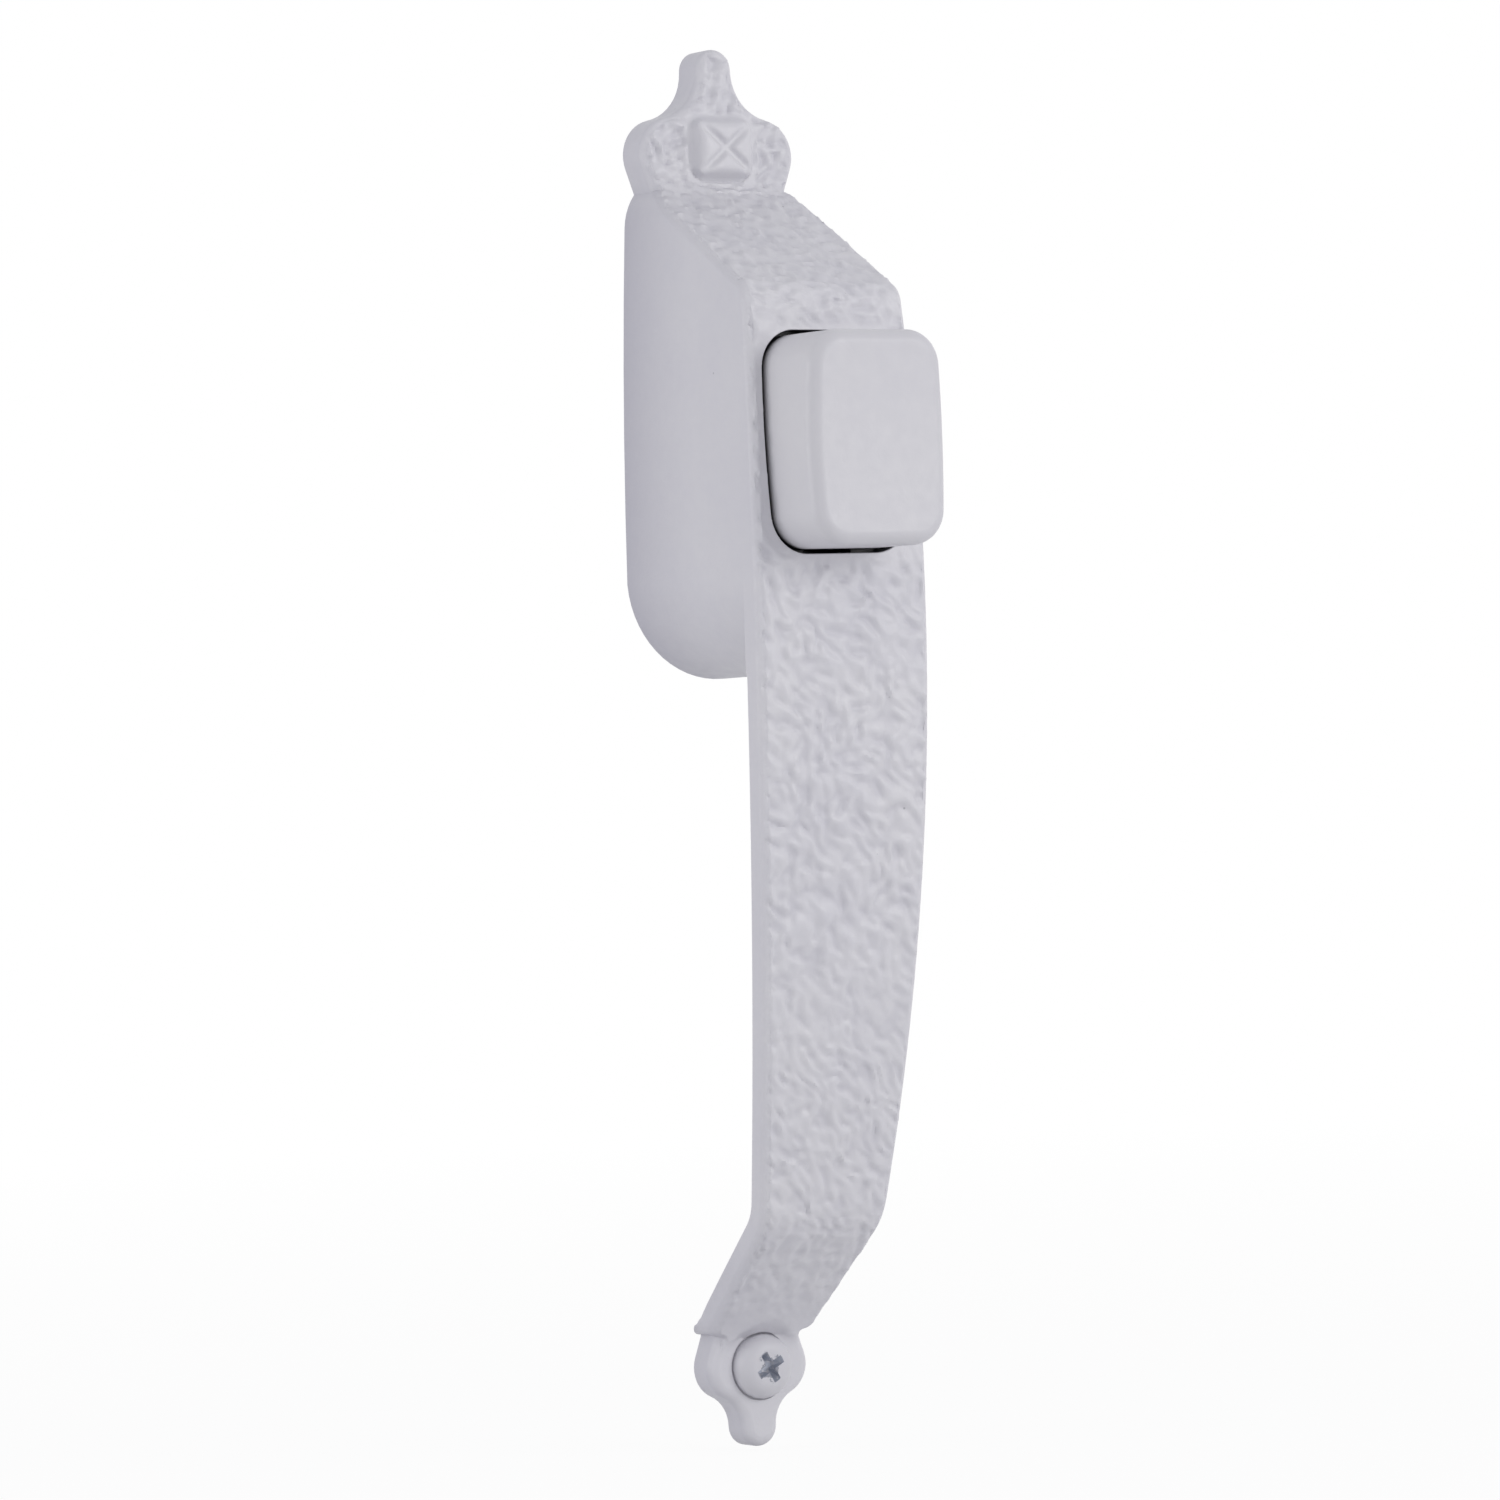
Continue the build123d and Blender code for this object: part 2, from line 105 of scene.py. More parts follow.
class Board:
    """A node tree with short calls for placing and joining its nodes."""

    def __init__(self, tree: NodeTree) -> None:
        """Keeps the tree that is drawn on."""
        self.tree = tree

    def node(self, kind: str, **inputs: object) -> Node:
        """Places a node and sets its inputs by name.

        Args:
            kind: Blender's name of the node's type.
            inputs: Values for its sockets, with spaces in a name written as underscores.

        Returns:
            The new node.
        """
        made = self.tree.nodes.new(kind)
        for name, value in inputs.items():
            made.inputs[name.replace("_", " ")].default_value = value
        return made

    def join(self, source: NodeSocket, target: NodeSocket) -> None:
        """Links an output to an input."""
        self.tree.links.new(source, target)

    def maths(self, operation: str, a: object, b: object) -> NodeSocket:
        """Places a Math node.

        Args:
            operation: Blender's name of the operation.
            a: First operand, a number or an output socket.
            b: Second operand, a number or an output socket.

        Returns:
            The node's output.
        """
        made = self.tree.nodes.new("ShaderNodeMath")
        made.operation = operation
        for socket, value in zip(made.inputs, (a, b)):
            self._feed(socket, value)
        return made.outputs[0]

    def blend(self, factor: object, a: object, b: object, mode: str = "MIX") -> NodeSocket:
        """Places a colour Mix node.

        Args:
            factor: Share of the second colour, a number or an output socket.
            a: First colour, four numbers or an output socket.
            b: Second colour, four numbers or an output socket.
            mode: Blender's name of the blend type.

        Returns:
            The mixed colour's output.
        """
        made = self.tree.nodes.new("ShaderNodeMix")
        made.data_type = "RGBA"
        made.blend_type = mode
        for socket, value in ((made.inputs[0], factor), (made.inputs[6], a), (made.inputs[7], b)):
            self._feed(socket, value)
        return made.outputs[2]

    def place(self) -> NodeSocket:
        """Places a Texture Coordinate node and gives its Object output."""
        return self.node("ShaderNodeTexCoord").outputs["Object"]

    def split(self, vector: NodeSocket) -> dict[str, NodeSocket]:
        """Takes a vector apart.

        Args:
            vector: Output that is taken apart.

        Returns:
            Its X, Y and Z outputs by name.
        """
        made = self.node("ShaderNodeSeparateXYZ")
        self.join(vector, made.inputs[0])
        return {name: made.outputs[name] for name in "XYZ"}

    def spread(self, value: NodeSocket, span: Span, to: Span = (0.0, 1.0)) -> NodeSocket:
        """Places a clamped Map Range node.

        Args:
            value: Output that is mapped.
            span: Values that become the two ends of the new range.
            to: The new range.

        Returns:
            The mapped output.
        """
        ends = {"From_Min": span[0], "From_Max": span[1], "To_Min": to[0], "To_Max": to[1]}
        made = self.node("ShaderNodeMapRange", **ends)
        self.join(value, made.inputs["Value"])
        return made.outputs["Result"]

    def _feed(self, socket: NodeSocket, value: object) -> None:
        """Links an output to a socket, or sets the socket's own value."""
        if isinstance(value, NodeSocket):
            self.join(value, socket)
        else:
            socket.default_value = value


def rgba(colour: Colour) -> tuple[float, float, float, float]:
    """Colour with full alpha."""
    return (*colour, 1.0)


def metres(span: Span) -> Span:
    """A span of millimetres in metres."""
    return span[0] * MM, span[1] * MM


def new_group(name: str, inputs: dict[str, str], outputs: dict[str, str]) -> tuple[Board, dict, dict]:
    """Starts a shader node group.

    Args:
        name: Name of the group.
        inputs: Socket type of each input by its name.
        outputs: Socket type of each output by its name.

    Returns:
        The board to draw on, the inputs' sockets and the outputs' sockets inside the group.
    """
    tree = bpy.data.node_groups.new(name, "ShaderNodeTree")
    for label, kind in inputs.items():
        tree.interface.new_socket(name=label, in_out="INPUT", socket_type=kind)
    for label, kind in outputs.items():
        tree.interface.new_socket(name=label, in_out="OUTPUT", socket_type=kind)
    board = Board(tree)
    entry = board.node("NodeGroupInput")
    leave = board.node("NodeGroupOutput")
    return board, {k: entry.outputs[k] for k in inputs}, {k: leave.inputs[k] for k in outputs}


def paint_skin() -> NodeTree:
    """Sprayed paint: cloudy tone, fine orange peel and a few sunk specks.

    Returns:
        The node group, made at the first call.
    """
    name = "Sprayed paint skin"
    if name in bpy.data.node_groups:
        return bpy.data.node_groups[name]
    board, given, out = new_group(
        name,
        {
            "Tone": "NodeSocketColor",
            "Shade": "NodeSocketColor",
            "Cloud": "NodeSocketFloat",
            "Specks": "NodeSocketFloat",
            "Gloss break": "NodeSocketFloat",
        },
        SKIN_OUTPUTS,
    )
    place = board.place()
    cloud = board.node("ShaderNodeTexNoise", Scale=75.0, Detail=4.0, Roughness=0.55)
    fine = board.node("ShaderNodeTexNoise", Scale=620.0, Detail=3.0, Roughness=0.6)
    peel = board.node("ShaderNodeTexNoise", Scale=1700.0, Detail=2.0, Roughness=0.5)
    speck = board.node("ShaderNodeTexVoronoi", Scale=420.0, Randomness=1.0)
    rare = board.node("ShaderNodeTexNoise", Scale=260.0, Detail=1.0)
    for texture in (cloud, fine, peel, speck, rare):
        board.join(place, texture.inputs["Vector"])
    soft = board.spread(cloud.outputs["Fac"], (0.32, 0.68))
    grainy = board.spread(fine.outputs["Fac"], (0.3, 0.7))
    both = board.maths("ADD", board.maths("MULTIPLY", soft, 0.7), board.maths("MULTIPLY", grainy, 0.3))
    colour = board.blend(board.maths("MULTIPLY", both, given["Cloud"]), given["Tone"], given["Shade"])
    pit = board.spread(speck.outputs["Distance"], (0.03, 0.08), (1.0, 0.0))
    chosen = board.spread(rare.outputs["Fac"], (0.64, 0.68))
    pits = board.maths("MULTIPLY", board.maths("MULTIPLY", pit, chosen), given["Specks"])
    board.join(board.blend(pits, colour, PIT_TONE), out["Color"])
    rough = board.maths("MULTIPLY", board.maths("SUBTRACT", grainy, 0.5), given["Gloss break"])
    board.join(board.maths("ADD", rough, PAINT_ROUGHNESS), out["Roughness"])
    height = board.maths("ADD", peel.outputs["Fac"], board.maths("MULTIPLY", fine.outputs["Fac"], 1.5))
    board.join(board.maths("SUBTRACT", height, pits), out["Height"])
    return board.tree


def plated_skin() -> NodeTree:
    """Plated or drawn metal: bloom in the tone and fine lines along one direction.

    Returns:
        The node group, made at the first call.
    """
    name = "Plated metal skin"
    if name in bpy.data.node_groups:
        return bpy.data.node_groups[name]
    board, given, out = new_group(
        name,
        {
            "Tone": "NodeSocketColor",
            "Bloom": "NodeSocketColor",
            "Bloom share": "NodeSocketFloat",
            "Line density": "NodeSocketVector",
            "Mean roughness": "NodeSocketFloat",
        },
        SKIN_OUTPUTS,
    )
    place = board.place()
    stretched = board.node("ShaderNodeVectorMath")
    stretched.operation = "MULTIPLY"
    board.join(place, stretched.inputs[0])
    board.join(given["Line density"], stretched.inputs[1])
    lines = board.node("ShaderNodeTexNoise", Scale=1.0, Detail=3.0, Roughness=0.6)
    board.join(stretched.outputs[0], lines.inputs["Vector"])
    bloom = board.node("ShaderNodeTexNoise", Scale=210.0, Detail=4.0, Roughness=0.6)
    board.join(place, bloom.inputs["Vector"])
    share = board.maths("MULTIPLY", board.spread(bloom.outputs["Fac"], (0.35, 0.7)), given["Bloom share"])
    board.join(board.blend(share, given["Tone"], given["Bloom"]), out["Color"])
    streak = board.maths("MULTIPLY", board.maths("SUBTRACT", lines.outputs["Fac"], 0.5), 0.22)
    rough = board.maths("ADD", given["Mean roughness"], streak)
    board.join(board.maths("ADD", rough, board.maths("MULTIPLY", share, 0.2)), out["Roughness"])
    board.join(lines.outputs["Fac"], out["Height"])
    return board.tree


def start_material(name: str, skin_tree: NodeTree, values: dict[str, object]) -> tuple[Board, Node, Node]:
    """Makes a material with its shader and a skin.

    Args:
        name: Name of the material.
        skin_tree: Node group of the skin.
        values: Values of the group's inputs by name.

    Returns:
        The board to draw on, its Principled shader and the skin's node.
    """
    made = bpy.data.materials.new(name)
    made.use_nodes = True
    made.node_tree.nodes.clear()
    board = Board(made.node_tree)
    shader = board.node("ShaderNodeBsdfPrincipled")
    output = board.node("ShaderNodeOutputMaterial")
    board.join(shader.outputs["BSDF"], output.inputs["Surface"])
    skin = board.node("ShaderNodeGroup")
    skin.node_tree = skin_tree
    for label, value in values.items():
        skin.inputs[label].default_value = value
    return board, shader, skin


def feed_shader(
    board: Board, shader: Node, skin: Node, colour: NodeSocket, bump: float, depth: float
) -> None:
    """Feeds a skin into a shader.

    Args:
        board: The material's board.
        shader: Shader that is fed.
        skin: Node of the skin, which gives roughness and height.
        colour: Colour of the skin, with what was laid over it.
        bump: Strength of the bump.
        depth: Depth of the bump in millimetres.
    """
    board.join(colour, shader.inputs["Base Color"])
    board.join(skin.outputs["Roughness"], shader.inputs["Roughness"])
    bumped = board.node("ShaderNodeBump", Strength=bump, Distance=depth * MM)
    board.join(skin.outputs["Height"], bumped.inputs["Height"])
    board.join(bumped.outputs["Normal"], shader.inputs["Normal"])


@dataclass(frozen=True)
class PaintFinish:
    """White paint on cast or turned metal, with painted shade in hammered hollows, on the side walls
    towards the door and on the part of the button inside the housing where it is told to have it, and
    chipped where it is told to be.
    """

    name: str
    tone: Colour = (0.70, 0.695, 0.72)
    shade: Colour = (0.635, 0.63, 0.685)
    cloud: float = 0.55
    specks: float = 0.5
    gloss_break: float = 0.12
    bump: float = 0.12
    bump_depth: float = 0.12
    # Share of painted shade in the hollows of a hammered relief.
    hollow_shade: float = 0.0
    # Painted shade on the side walls, strongest at the door: its strength, base share, share at the ends,
    # ramp power and tone.
    door_shade: float = 0.0
    side_shade_base: float = 0.25
    end_shade_share: float = 0.6
    door_shade_power: float = 1.5
    door_shade_tone: Colour = (0.42, 0.415, 0.475)
    near_door: Span = (-17.0, 3.0)
    facing_out: Span = (0.15, 0.75)
    wall_top: Span = (31.0, 36.0)
    wall_foot: Span = (-114.0, -108.0)
    # Near-black painted shade below the housing's front line, for the gap round the button.
    gap_shade: bool = False
    gap_shade_line: Span = (0.3, 0.9)
    gap_shade_tone: Colour = (0.03, 0.03, 0.035)
    chip_radius: float = 0.0
    chip_edge: float = 0.12
    chip_ragged: float = 5.0
    chip_share: float = 0.9
    chip_tone: Colour = (0.25, 0.265, 0.31)

    def _door_side_shade(self, board: Board, colour: NodeSocket) -> NodeSocket:
        """Paints shade on the side walls, darker towards the door.

        Args:
            board: The material's board.
            colour: The paint's colour.

        Returns:
            The changed colour.
        """
        place = board.split(board.place())
        facing = board.split(board.node("ShaderNodeNewGeometry").outputs["Normal"])
        near = board.spread(place["Y"], metres(self.near_door), (0.0, self.door_shade))
        sideways = board.spread(board.maths("ABSOLUTE", facing["Y"], 0.0), self.facing_out, (1.0, 0.0))
        below_finial = board.spread(place["Z"], metres(self.wall_top), (1.0, self.end_shade_share))
        above_foot = board.spread(place["Z"], metres(self.wall_foot), (self.end_shade_share, 1.0))
        on_walls = board.maths("MULTIPLY", below_finial, above_foot)
        shade_ramp = board.spread(board.maths("POWER", near, self.door_shade_power), (0.0, 1.0), (self.side_shade_base, 1.0))
        share = board.maths("MULTIPLY", shade_ramp, sideways)
        return board.blend(board.maths("MULTIPLY", share, on_walls), colour, rgba(self.door_shade_tone))

    def _paint_gap_shade(self, board: Board, colour: NodeSocket, profile: "SideProfile") -> NodeSocket:
        """Paints near-black shade on the part that stays inside the housing, for the dark gap round the
        button.

        Args:
            board: The material's board.
            colour: The paint's colour.
            profile: Front line of the housing.

        Returns:
            The changed colour.
        """
        depth, height, radius = (value * MM for value in profile.bow)
        place = board.split(board.place())
        off = board.maths("SUBTRACT", place["Z"], height)
        drop = board.maths("MULTIPLY", board.maths("MULTIPLY", off, off), 0.5 / radius)
        front = board.maths("SUBTRACT", depth + radius, drop)
        sunk = board.maths("ADD", front, place["Y"])
        return board.blend(board.spread(sunk, metres(self.gap_shade_line)), colour, rgba(self.gap_shade_tone))

    def _chipped(self, board: Board, colour: NodeSocket) -> NodeSocket:
        """Bares the metal raggedly round the mouth of the foot screw's recess.

        Args:
            board: The material's board.
            colour: The paint's colour.

        Returns:
            The changed colour.
        """
        where = board.place()
        place = board.split(where)
        rise = board.maths("SUBTRACT", place["Z"], FOOT_SCREW_HEIGHT * MM)
        square = board.maths("MULTIPLY", rise, rise)
        square = board.maths("ADD", square, board.maths("MULTIPLY", place["X"], place["X"]))
        rough = board.node("ShaderNodeTexNoise", Scale=1150.0, Detail=4.0, Roughness=0.65)
        board.join(where, rough.inputs["Vector"])
        centred = board.maths("SUBTRACT", rough.outputs["Fac"], 0.5)
        ragged = board.maths("MULTIPLY", centred, self.chip_ragged * MM)
        away = board.maths("ADD", board.maths("SQRT", square, 0.0), ragged)
        edge = metres((self.chip_radius - self.chip_edge, self.chip_radius + self.chip_edge))
        return board.blend(board.spread(away, edge, (self.chip_share, 0.0)), colour, rgba(self.chip_tone))

    def material(self) -> Material:
        """Draws the paint, with painted shade in the hollows of a hammered skin where it has one.

        Returns:
            The new material.
        """
        values = {
            "Tone": rgba(self.tone),
            "Shade": rgba(self.shade),
            "Cloud": self.cloud,
            "Specks": self.specks,
            "Gloss break": self.gloss_break,
        }
        board, shader, skin = start_material(self.name, paint_skin(), values)
        colour = skin.outputs["Color"]
        # Painted shade: the shade colour is multiplied into the relief's hollows, read from the hollow
        # attribute.
        if self.hollow_shade:
            relief = board.node("ShaderNodeAttribute")
            relief.attribute_name = "hollow"
            depth = board.maths("MULTIPLY", relief.outputs["Fac"], self.hollow_shade)
            colour = board.blend(depth, colour, rgba(self.shade), "MULTIPLY")
        if self.door_shade:
            colour = self._door_side_shade(board, colour)
        if self.gap_shade:
            colour = self._paint_gap_shade(board, colour, SideProfile())
        if self.chip_radius:
            colour = self._chipped(board, colour)
        feed_shader(board, shader, skin, colour, self.bump, self.bump_depth)
        return bpy.data.materials[self.name]


@dataclass(frozen=True)
class PlatedFinish:
    """Zinc plate, bare casting or drawn wire, with flecks of paint where it is told to have them."""

    name: str
    tone: Colour
    bloom: Colour
    bloom_share: float = 0.5
    line_density: tuple[float, float, float] = (300.0, 4000.0, 300.0)
    roughness: float = 0.34
    metallic: float = 1.0
    bump: float = 0.1
    bump_depth: float = 0.05
    flecks: float = 0.0
    fleck_tone: Colour = (0.66, 0.655, 0.68)

    def material(self) -> Material:
        """Draws the metal with its bloom, lines and flecks.

        Returns:
            The new material.
        """
        values = {
            "Tone": rgba(self.tone),
            "Bloom": rgba(self.bloom),
            "Bloom share": self.bloom_share,
            "Line density": self.line_density,
            "Mean roughness": self.roughness,
        }
        board, shader, skin = start_material(self.name, plated_skin(), values)
        shader.inputs["Metallic"].default_value = self.metallic
        colour = skin.outputs["Color"]
        if self.flecks:
            patchy = board.node("ShaderNodeTexNoise", Scale=1300.0, Detail=3.0, Roughness=0.6)
            board.join(board.place(), patchy.inputs["Vector"])
            painted = board.spread(patchy.outputs["Fac"], (0.53, 0.6), (0.0, self.flecks))
            colour = board.blend(painted, colour, rgba(self.fleck_tone))
        feed_shader(board, shader, skin, colour, self.bump, self.bump_depth)
        return bpy.data.materials[self.name]


def smoothstep(span: Span, value: float) -> float:
    """Smooth step from 0 at the first end of a span to 1 at the second."""
    share = min(1.0, max(0.0, (value - span[0]) / (span[1] - span[0])))
    return share * share * (3.0 - 2.0 * share)


def raised(span: Span, base: float) -> Span:
    """A span moved up by a base."""
    return base + span[0], base + span[1]


def bare_mesh(node: str) -> BMesh:
    """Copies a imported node's shape with its seams closed and its flat facets joined.

    Args:
        node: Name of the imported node.

    Returns:
        The shape, free for editing.
    """
    shape = bmesh.new()
    shape.from_mesh(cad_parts[node].data)
    bmesh.ops.remove_doubles(shape, verts=shape.verts, dist=SEAM_GAP * MM)
    bmesh.ops.dissolve_limit(
        shape,
        angle_limit=math.radians(FLAT_DEG),
        verts=shape.verts,
        edges=shape.edges,
        use_dissolve_boundaries=False,
    )
    shape.normal_update()
    return shape


def with_borders(faces: Iterable[BMFace]) -> list:
    """Faces with their edges and points, each once and always in the same order."""
    return list(dict.fromkeys(item for face in faces for item in (face, *face.edges, *face.verts)))


def cut_by_planes(shape: BMesh, geometry: list, planes: Iterable[tuple[Vector, Vector]]) -> list:
    """Cuts part of a shape by planes.

    Args:
        shape: The shape.
        geometry: Its faces, edges and points that are cut.
        planes: A point in metres and the normal of each plane.

    Returns:
        The geometry with what the cuts added.
    """
    slack = CUT_SLACK * MM
    for point, normal in planes:
        made = bmesh.ops.bisect_plane(shape, geom=geometry, dist=slack, plane_co=point, plane_no=normal)
        geometry = made["geom"]
    return geometry


def finish_piece(name: str, shape: BMesh, materials: list[Material], body: Body) -> Object:
    """Turns a shape into a shaded piece that rides on a body.

    Args:
        name: Name of the piece.
        shape: Its shape, which is freed.
        materials: Its materials in slot order.
        body: Body that it rides on.

    Returns:
        The new piece.
    """
    mesh = bpy.data.meshes.new(name)
    shape.to_mesh(mesh)
    shape.free()
    if "custom_normal" in mesh.attributes:
        mesh.attributes.remove(mesh.attributes["custom_normal"])
    for material in materials:
        mesh.materials.append(material)
    mesh.shade_smooth()
    mesh.set_sharp_from_angle(angle=math.radians(CREASE_DEG))
    piece = bpy.data.objects.new(name, mesh)
    bpy.context.scene.collection.objects.link(piece)
    even = piece.modifiers.new("even_normals", "WEIGHTED_NORMAL")
    even.mode = "FACE_AREA"
    even.keep_sharp = True
    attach(piece, body.value)
    return piece


@dataclass
class SideProfile:
    """Front line of the handle seen from the side, as depth from the door over height, in millimetres."""

    brow: Span = (28.75, 19.95)
    brow_run: float = math.tan(math.radians(31.6))
    brow_round: float = 3.2
    crown: Span = (30.75, -17.0)
    heel: Span = (21.05, -101.5)
    heel_run: float = math.tan(math.radians(42.6))
    heel_round: float = 9.0
    reach: Span = (60.0, -140.0)
    samples: int = 4001
    bow: tuple[float, float, float] = field(init=False)
    upper: tuple[float, float, float, float, float] = field(init=False)
    lower: tuple[float, float, float, float, float] = field(init=False)
    heights: np.ndarray = field(init=False)
    runs: np.ndarray = field(init=False)

    def __post_init__(self) -> None:
        """Finds the bow's circle, the two bends and the length along the line."""
        a, b, c = (complex(*p) for p in (self.brow, self.crown, self.heel))
        w = (c - a) / (b - a)
        centre = (b - a) * (w - abs(w) ** 2) / (2j * w.imag) + a
        self.bow = (centre.real, centre.imag, abs(a - centre))
        self.upper = self._bend(self.brow, (-1.0, self.brow_run), (-self.brow_run, -1.0), self.brow_round)
        self.lower = self._bend(self.heel, (-1.0, -self.heel_run), (-self.heel_run, 1.0), self.heel_round)
        self.heights = np.linspace(*self.reach, self.samples)
        depths = np.array([self.depth(z) for z in self.heights])
        steps = np.hypot(np.diff(self.heights), np.diff(depths))
        self.runs = np.concatenate([[0.0], np.cumsum(steps)])

    def _bend(
        self, corner: Span, along: Span, inward: Span, radius: float
    ) -> tuple[float, float, float, float, float]:
        """Finds a round between a slope and the bow.

        Args:
            corner: Depth and height of the sharp corner.
            along: Direction of the slope away from the bow.
            inward: Direction into the metal, square to the slope.
            radius: Radius of the round.

        Returns:
            Depth and height of its centre, its radius, and its heights on the slope and on the bow.
        """
        u = np.array(along) / np.hypot(*along)
        n = np.array(inward) / np.hypot(*inward)
        middle = np.array(self.bow[:2])
        start = np.array(corner) + radius * n - middle
        reach = self.bow[2] - radius
        half = start @ u
        root = math.sqrt(half * half - (start @ start - reach * reach))
        t = min((-half + root, -half - root), key=abs)
        centre = start + t * u + middle
        off = (centre - middle) / np.linalg.norm(centre - middle)
        return centre[0], centre[1], radius, (centre - radius * n)[1], (centre + radius * off)[1]

    def depth(self, z: float) -> float:
        """Depth of the front line at a height.

        Args:
            z: Height in millimetres.

        Returns:
            Depth from the door in millimetres.
        """
        if z > self.upper[3]:
            return self.brow[0] - (z - self.brow[1]) / self.brow_run
        if z < self.lower[3]:
            return self.heel[0] + (z - self.heel[1]) / self.heel_run
        for bend, inside in ((self.upper, z > self.upper[4]), (self.lower, z < self.lower[4])):
            if inside:
                return bend[0] + math.sqrt(max(0.0, bend[2] ** 2 - (z - bend[1]) ** 2))
        return self.bow[0] + math.sqrt(self.bow[2] ** 2 - (z - self.bow[1]) ** 2)

    def run(self, z: float) -> float:
        """Length along the front line down to a height, in millimetres."""
        return float(np.interp(-z, -self.heights, self.runs))


@dataclass(frozen=True)
class HammerRelief:
    """Shallow worm-like ridges of a hammered casting, which lean from level to upright, in millimetres."""

    height: float = 0.4
    across: float = 1.35
    along: float = 2.4
    lean_deg: float = 40.0
    wander: float = 1.4
    sway_span: float = 4.6
    sweep_span: float = 5.3
    second_size: Span = (0.8, 0.85)
    pebble_size: Span = (1.0, 1.1)
    crisp: float = 2.4
    shares: tuple[float, float, float] = (0.6, 0.45, 0.17)

    def at(self, x: float, run: float) -> float:
        """Height of the relief.

        Args:
            x: Place across the handle in millimetres.
            run: Length along the front line in millimetres.

        Returns:
            Height in millimetres.
        """
        lean = math.radians(self.lean_deg)
        sway = NoiseLayer.SWAY.at(x / self.sway_span, run / self.sway_span) * self.wander
        sweep = NoiseLayer.SWEEP.at(x / self.sweep_span, run / self.sweep_span) * self.wander
        u = (x * math.cos(lean) + run * math.sin(lean) + sway) / self.along
        v = (run * math.cos(lean) - x * math.sin(lean) + sweep) / self.across
        broad = math.tanh(self.crisp * NoiseLayer.BROAD.at(u, v))
        finer = NoiseLayer.SECOND.at(u / self.second_size[0], v / self.second_size[1])
        second = math.tanh(self.crisp * finer)
        pebble = NoiseLayer.PEBBLE.at(x / self.pebble_size[0], run / self.pebble_size[1])
        return self.height * sum(share * wave for share, wave in zip(self.shares, (broad, second, pebble)))


@dataclass(frozen=True)
class RoundTip:
    """Round end of the finial or the foot, in millimetres."""

    middle: float
    radius: float
    face: float
    edge: float
    way: int
    cuts: int = 22
    seam: float = 0.02
    front_slack: float = 0.1
    flat_slack: float = 0.005
    wall_slack: float = 0.35

    def radius_at(self, depth: float) -> float:
        """Radius of the end at a depth.

        Args:
            depth: Depth from the door in millimetres.

        Returns:
            Full radius on the wall, and less on the rounded front edge.
        """
        over = max(0.0, depth - self.face + self.edge)
        return self.radius - self.edge + math.sqrt(max(0.0, self.edge**2 - over**2))

    def refine(self, shape: BMesh) -> None:
        """Cuts the facets of the end into narrow ones and sets them on the true round.

        Args:
            shape: The casting.
        """
        centre = Vector((0.0, 0.0, self.middle * MM))
        faces = [
            face
            for face in shape.faces
            if min((vert.co.z / MM - self.middle) * self.way for vert in face.verts) > -self.seam
            and max(-vert.co.y / MM for vert in face.verts) < self.face + self.front_slack
        ]
        turns = [math.pi * i / self.cuts for i in range(1, self.cuts)]
        planes = [(centre, Vector((math.sin(turn), 0.0, math.cos(turn)))) for turn in turns]
        geometry = cut_by_planes(shape, with_borders(faces), planes)
        for vert in [item for item in geometry if isinstance(item, BMVert)]:
            out = Vector((vert.co.x, 0.0, vert.co.z)) - centre
            true = self.radius_at(-vert.co.y / MM) * MM
            on_wall = out.length > true - self.wall_slack * MM
            if on_wall and -vert.co.y < (self.face - self.flat_slack) * MM:
                vert.co += out * (true / out.length - 1.0)


@dataclass(frozen=True)
class Opening:
    """Round-cornered opening for the button with its smooth rim, in millimetres."""

    half: Span = (11.25, 14.7)
    corner: float = 5.4
    rim_round: float = 0.2
    rim_smooth: float = 1.3

    def holds(self, spot: Vector) -> bool:
        """True for points in front of the opening or in it."""
        return abs(spot.x) < self.half[0] and abs(spot.z) < self.half[1]

    def distance(self, spot: Vector) -> float:
        """Distance of a point from the opening, seen from the front."""
        past = [abs(at) - half + self.corner for at, half in zip((spot.x, spot.z), self.half)]
        return math.hypot(*(max(0.0, value) for value in past)) - self.corner


@dataclass(frozen=True)
class NailHead:
    """Square nail-head on the finial, in millimetres and in shares of its half size."""

    middle: float = 40.2
    half: Span = (4.95, 4.35)
    reach: float = 1.35
    rim: Span = (0.5, 0.75)
    clear: Span = (1.0, 1.15)
    passes: int = 5
    rim_passes: int = 11

    def part(self, spot: Vector) -> float:
        """How far out a point is, from 0 in the middle to 1 on the edge of the head."""
        return max(abs(spot.x) / self.half[0], abs(spot.z - self.middle) / self.half[1])


@dataclass(frozen=True)
class Ankle:
    """Blend of the step where the lower slope runs into the foot, in millimetres."""

    heights: Span = (-121.5, -112.0)
    depths: Span = (2.2, 7.4)
    fade: float = 2.0
    rise: float = 1.2
    back_skin: float = 0.3
    seat: float = 4.55
    seat_fade: Span = (0.2, 1.2)
    passes: int = 14
    sliver: float = 0.06
    hole_sides: int = 8

    def holds(self, point: Vector) -> bool:
        """True for points near the step, given in metres."""
        return self.heights[0] < point.z / MM < self.heights[1] and point.y < -self.back_skin * MM

    def from_seat(self, spot: Vector) -> float:
        """Distance of a point from the edge of the foot screw's seat, seen from the front."""
        return math.hypot(spot.x, spot.z - FOOT_SCREW_HEIGHT) - self.seat

    def share(self, spot: Vector) -> float:
        """Share of the blend at a point.

        Args:
            spot: The point in millimetres.

        Returns:
            1 in the middle of the blend, and 0 at its borders and round the screw's seat.
        """
        low, high = self.heights
        share = smoothstep((low, low + self.fade), spot.z) * smoothstep((high, high - self.fade), spot.z)
        share *= smoothstep((self.depths[0], self.depths[0] + self.rise), -spot.y)
        return share * smoothstep(self.seat_fade, self.from_seat(spot))


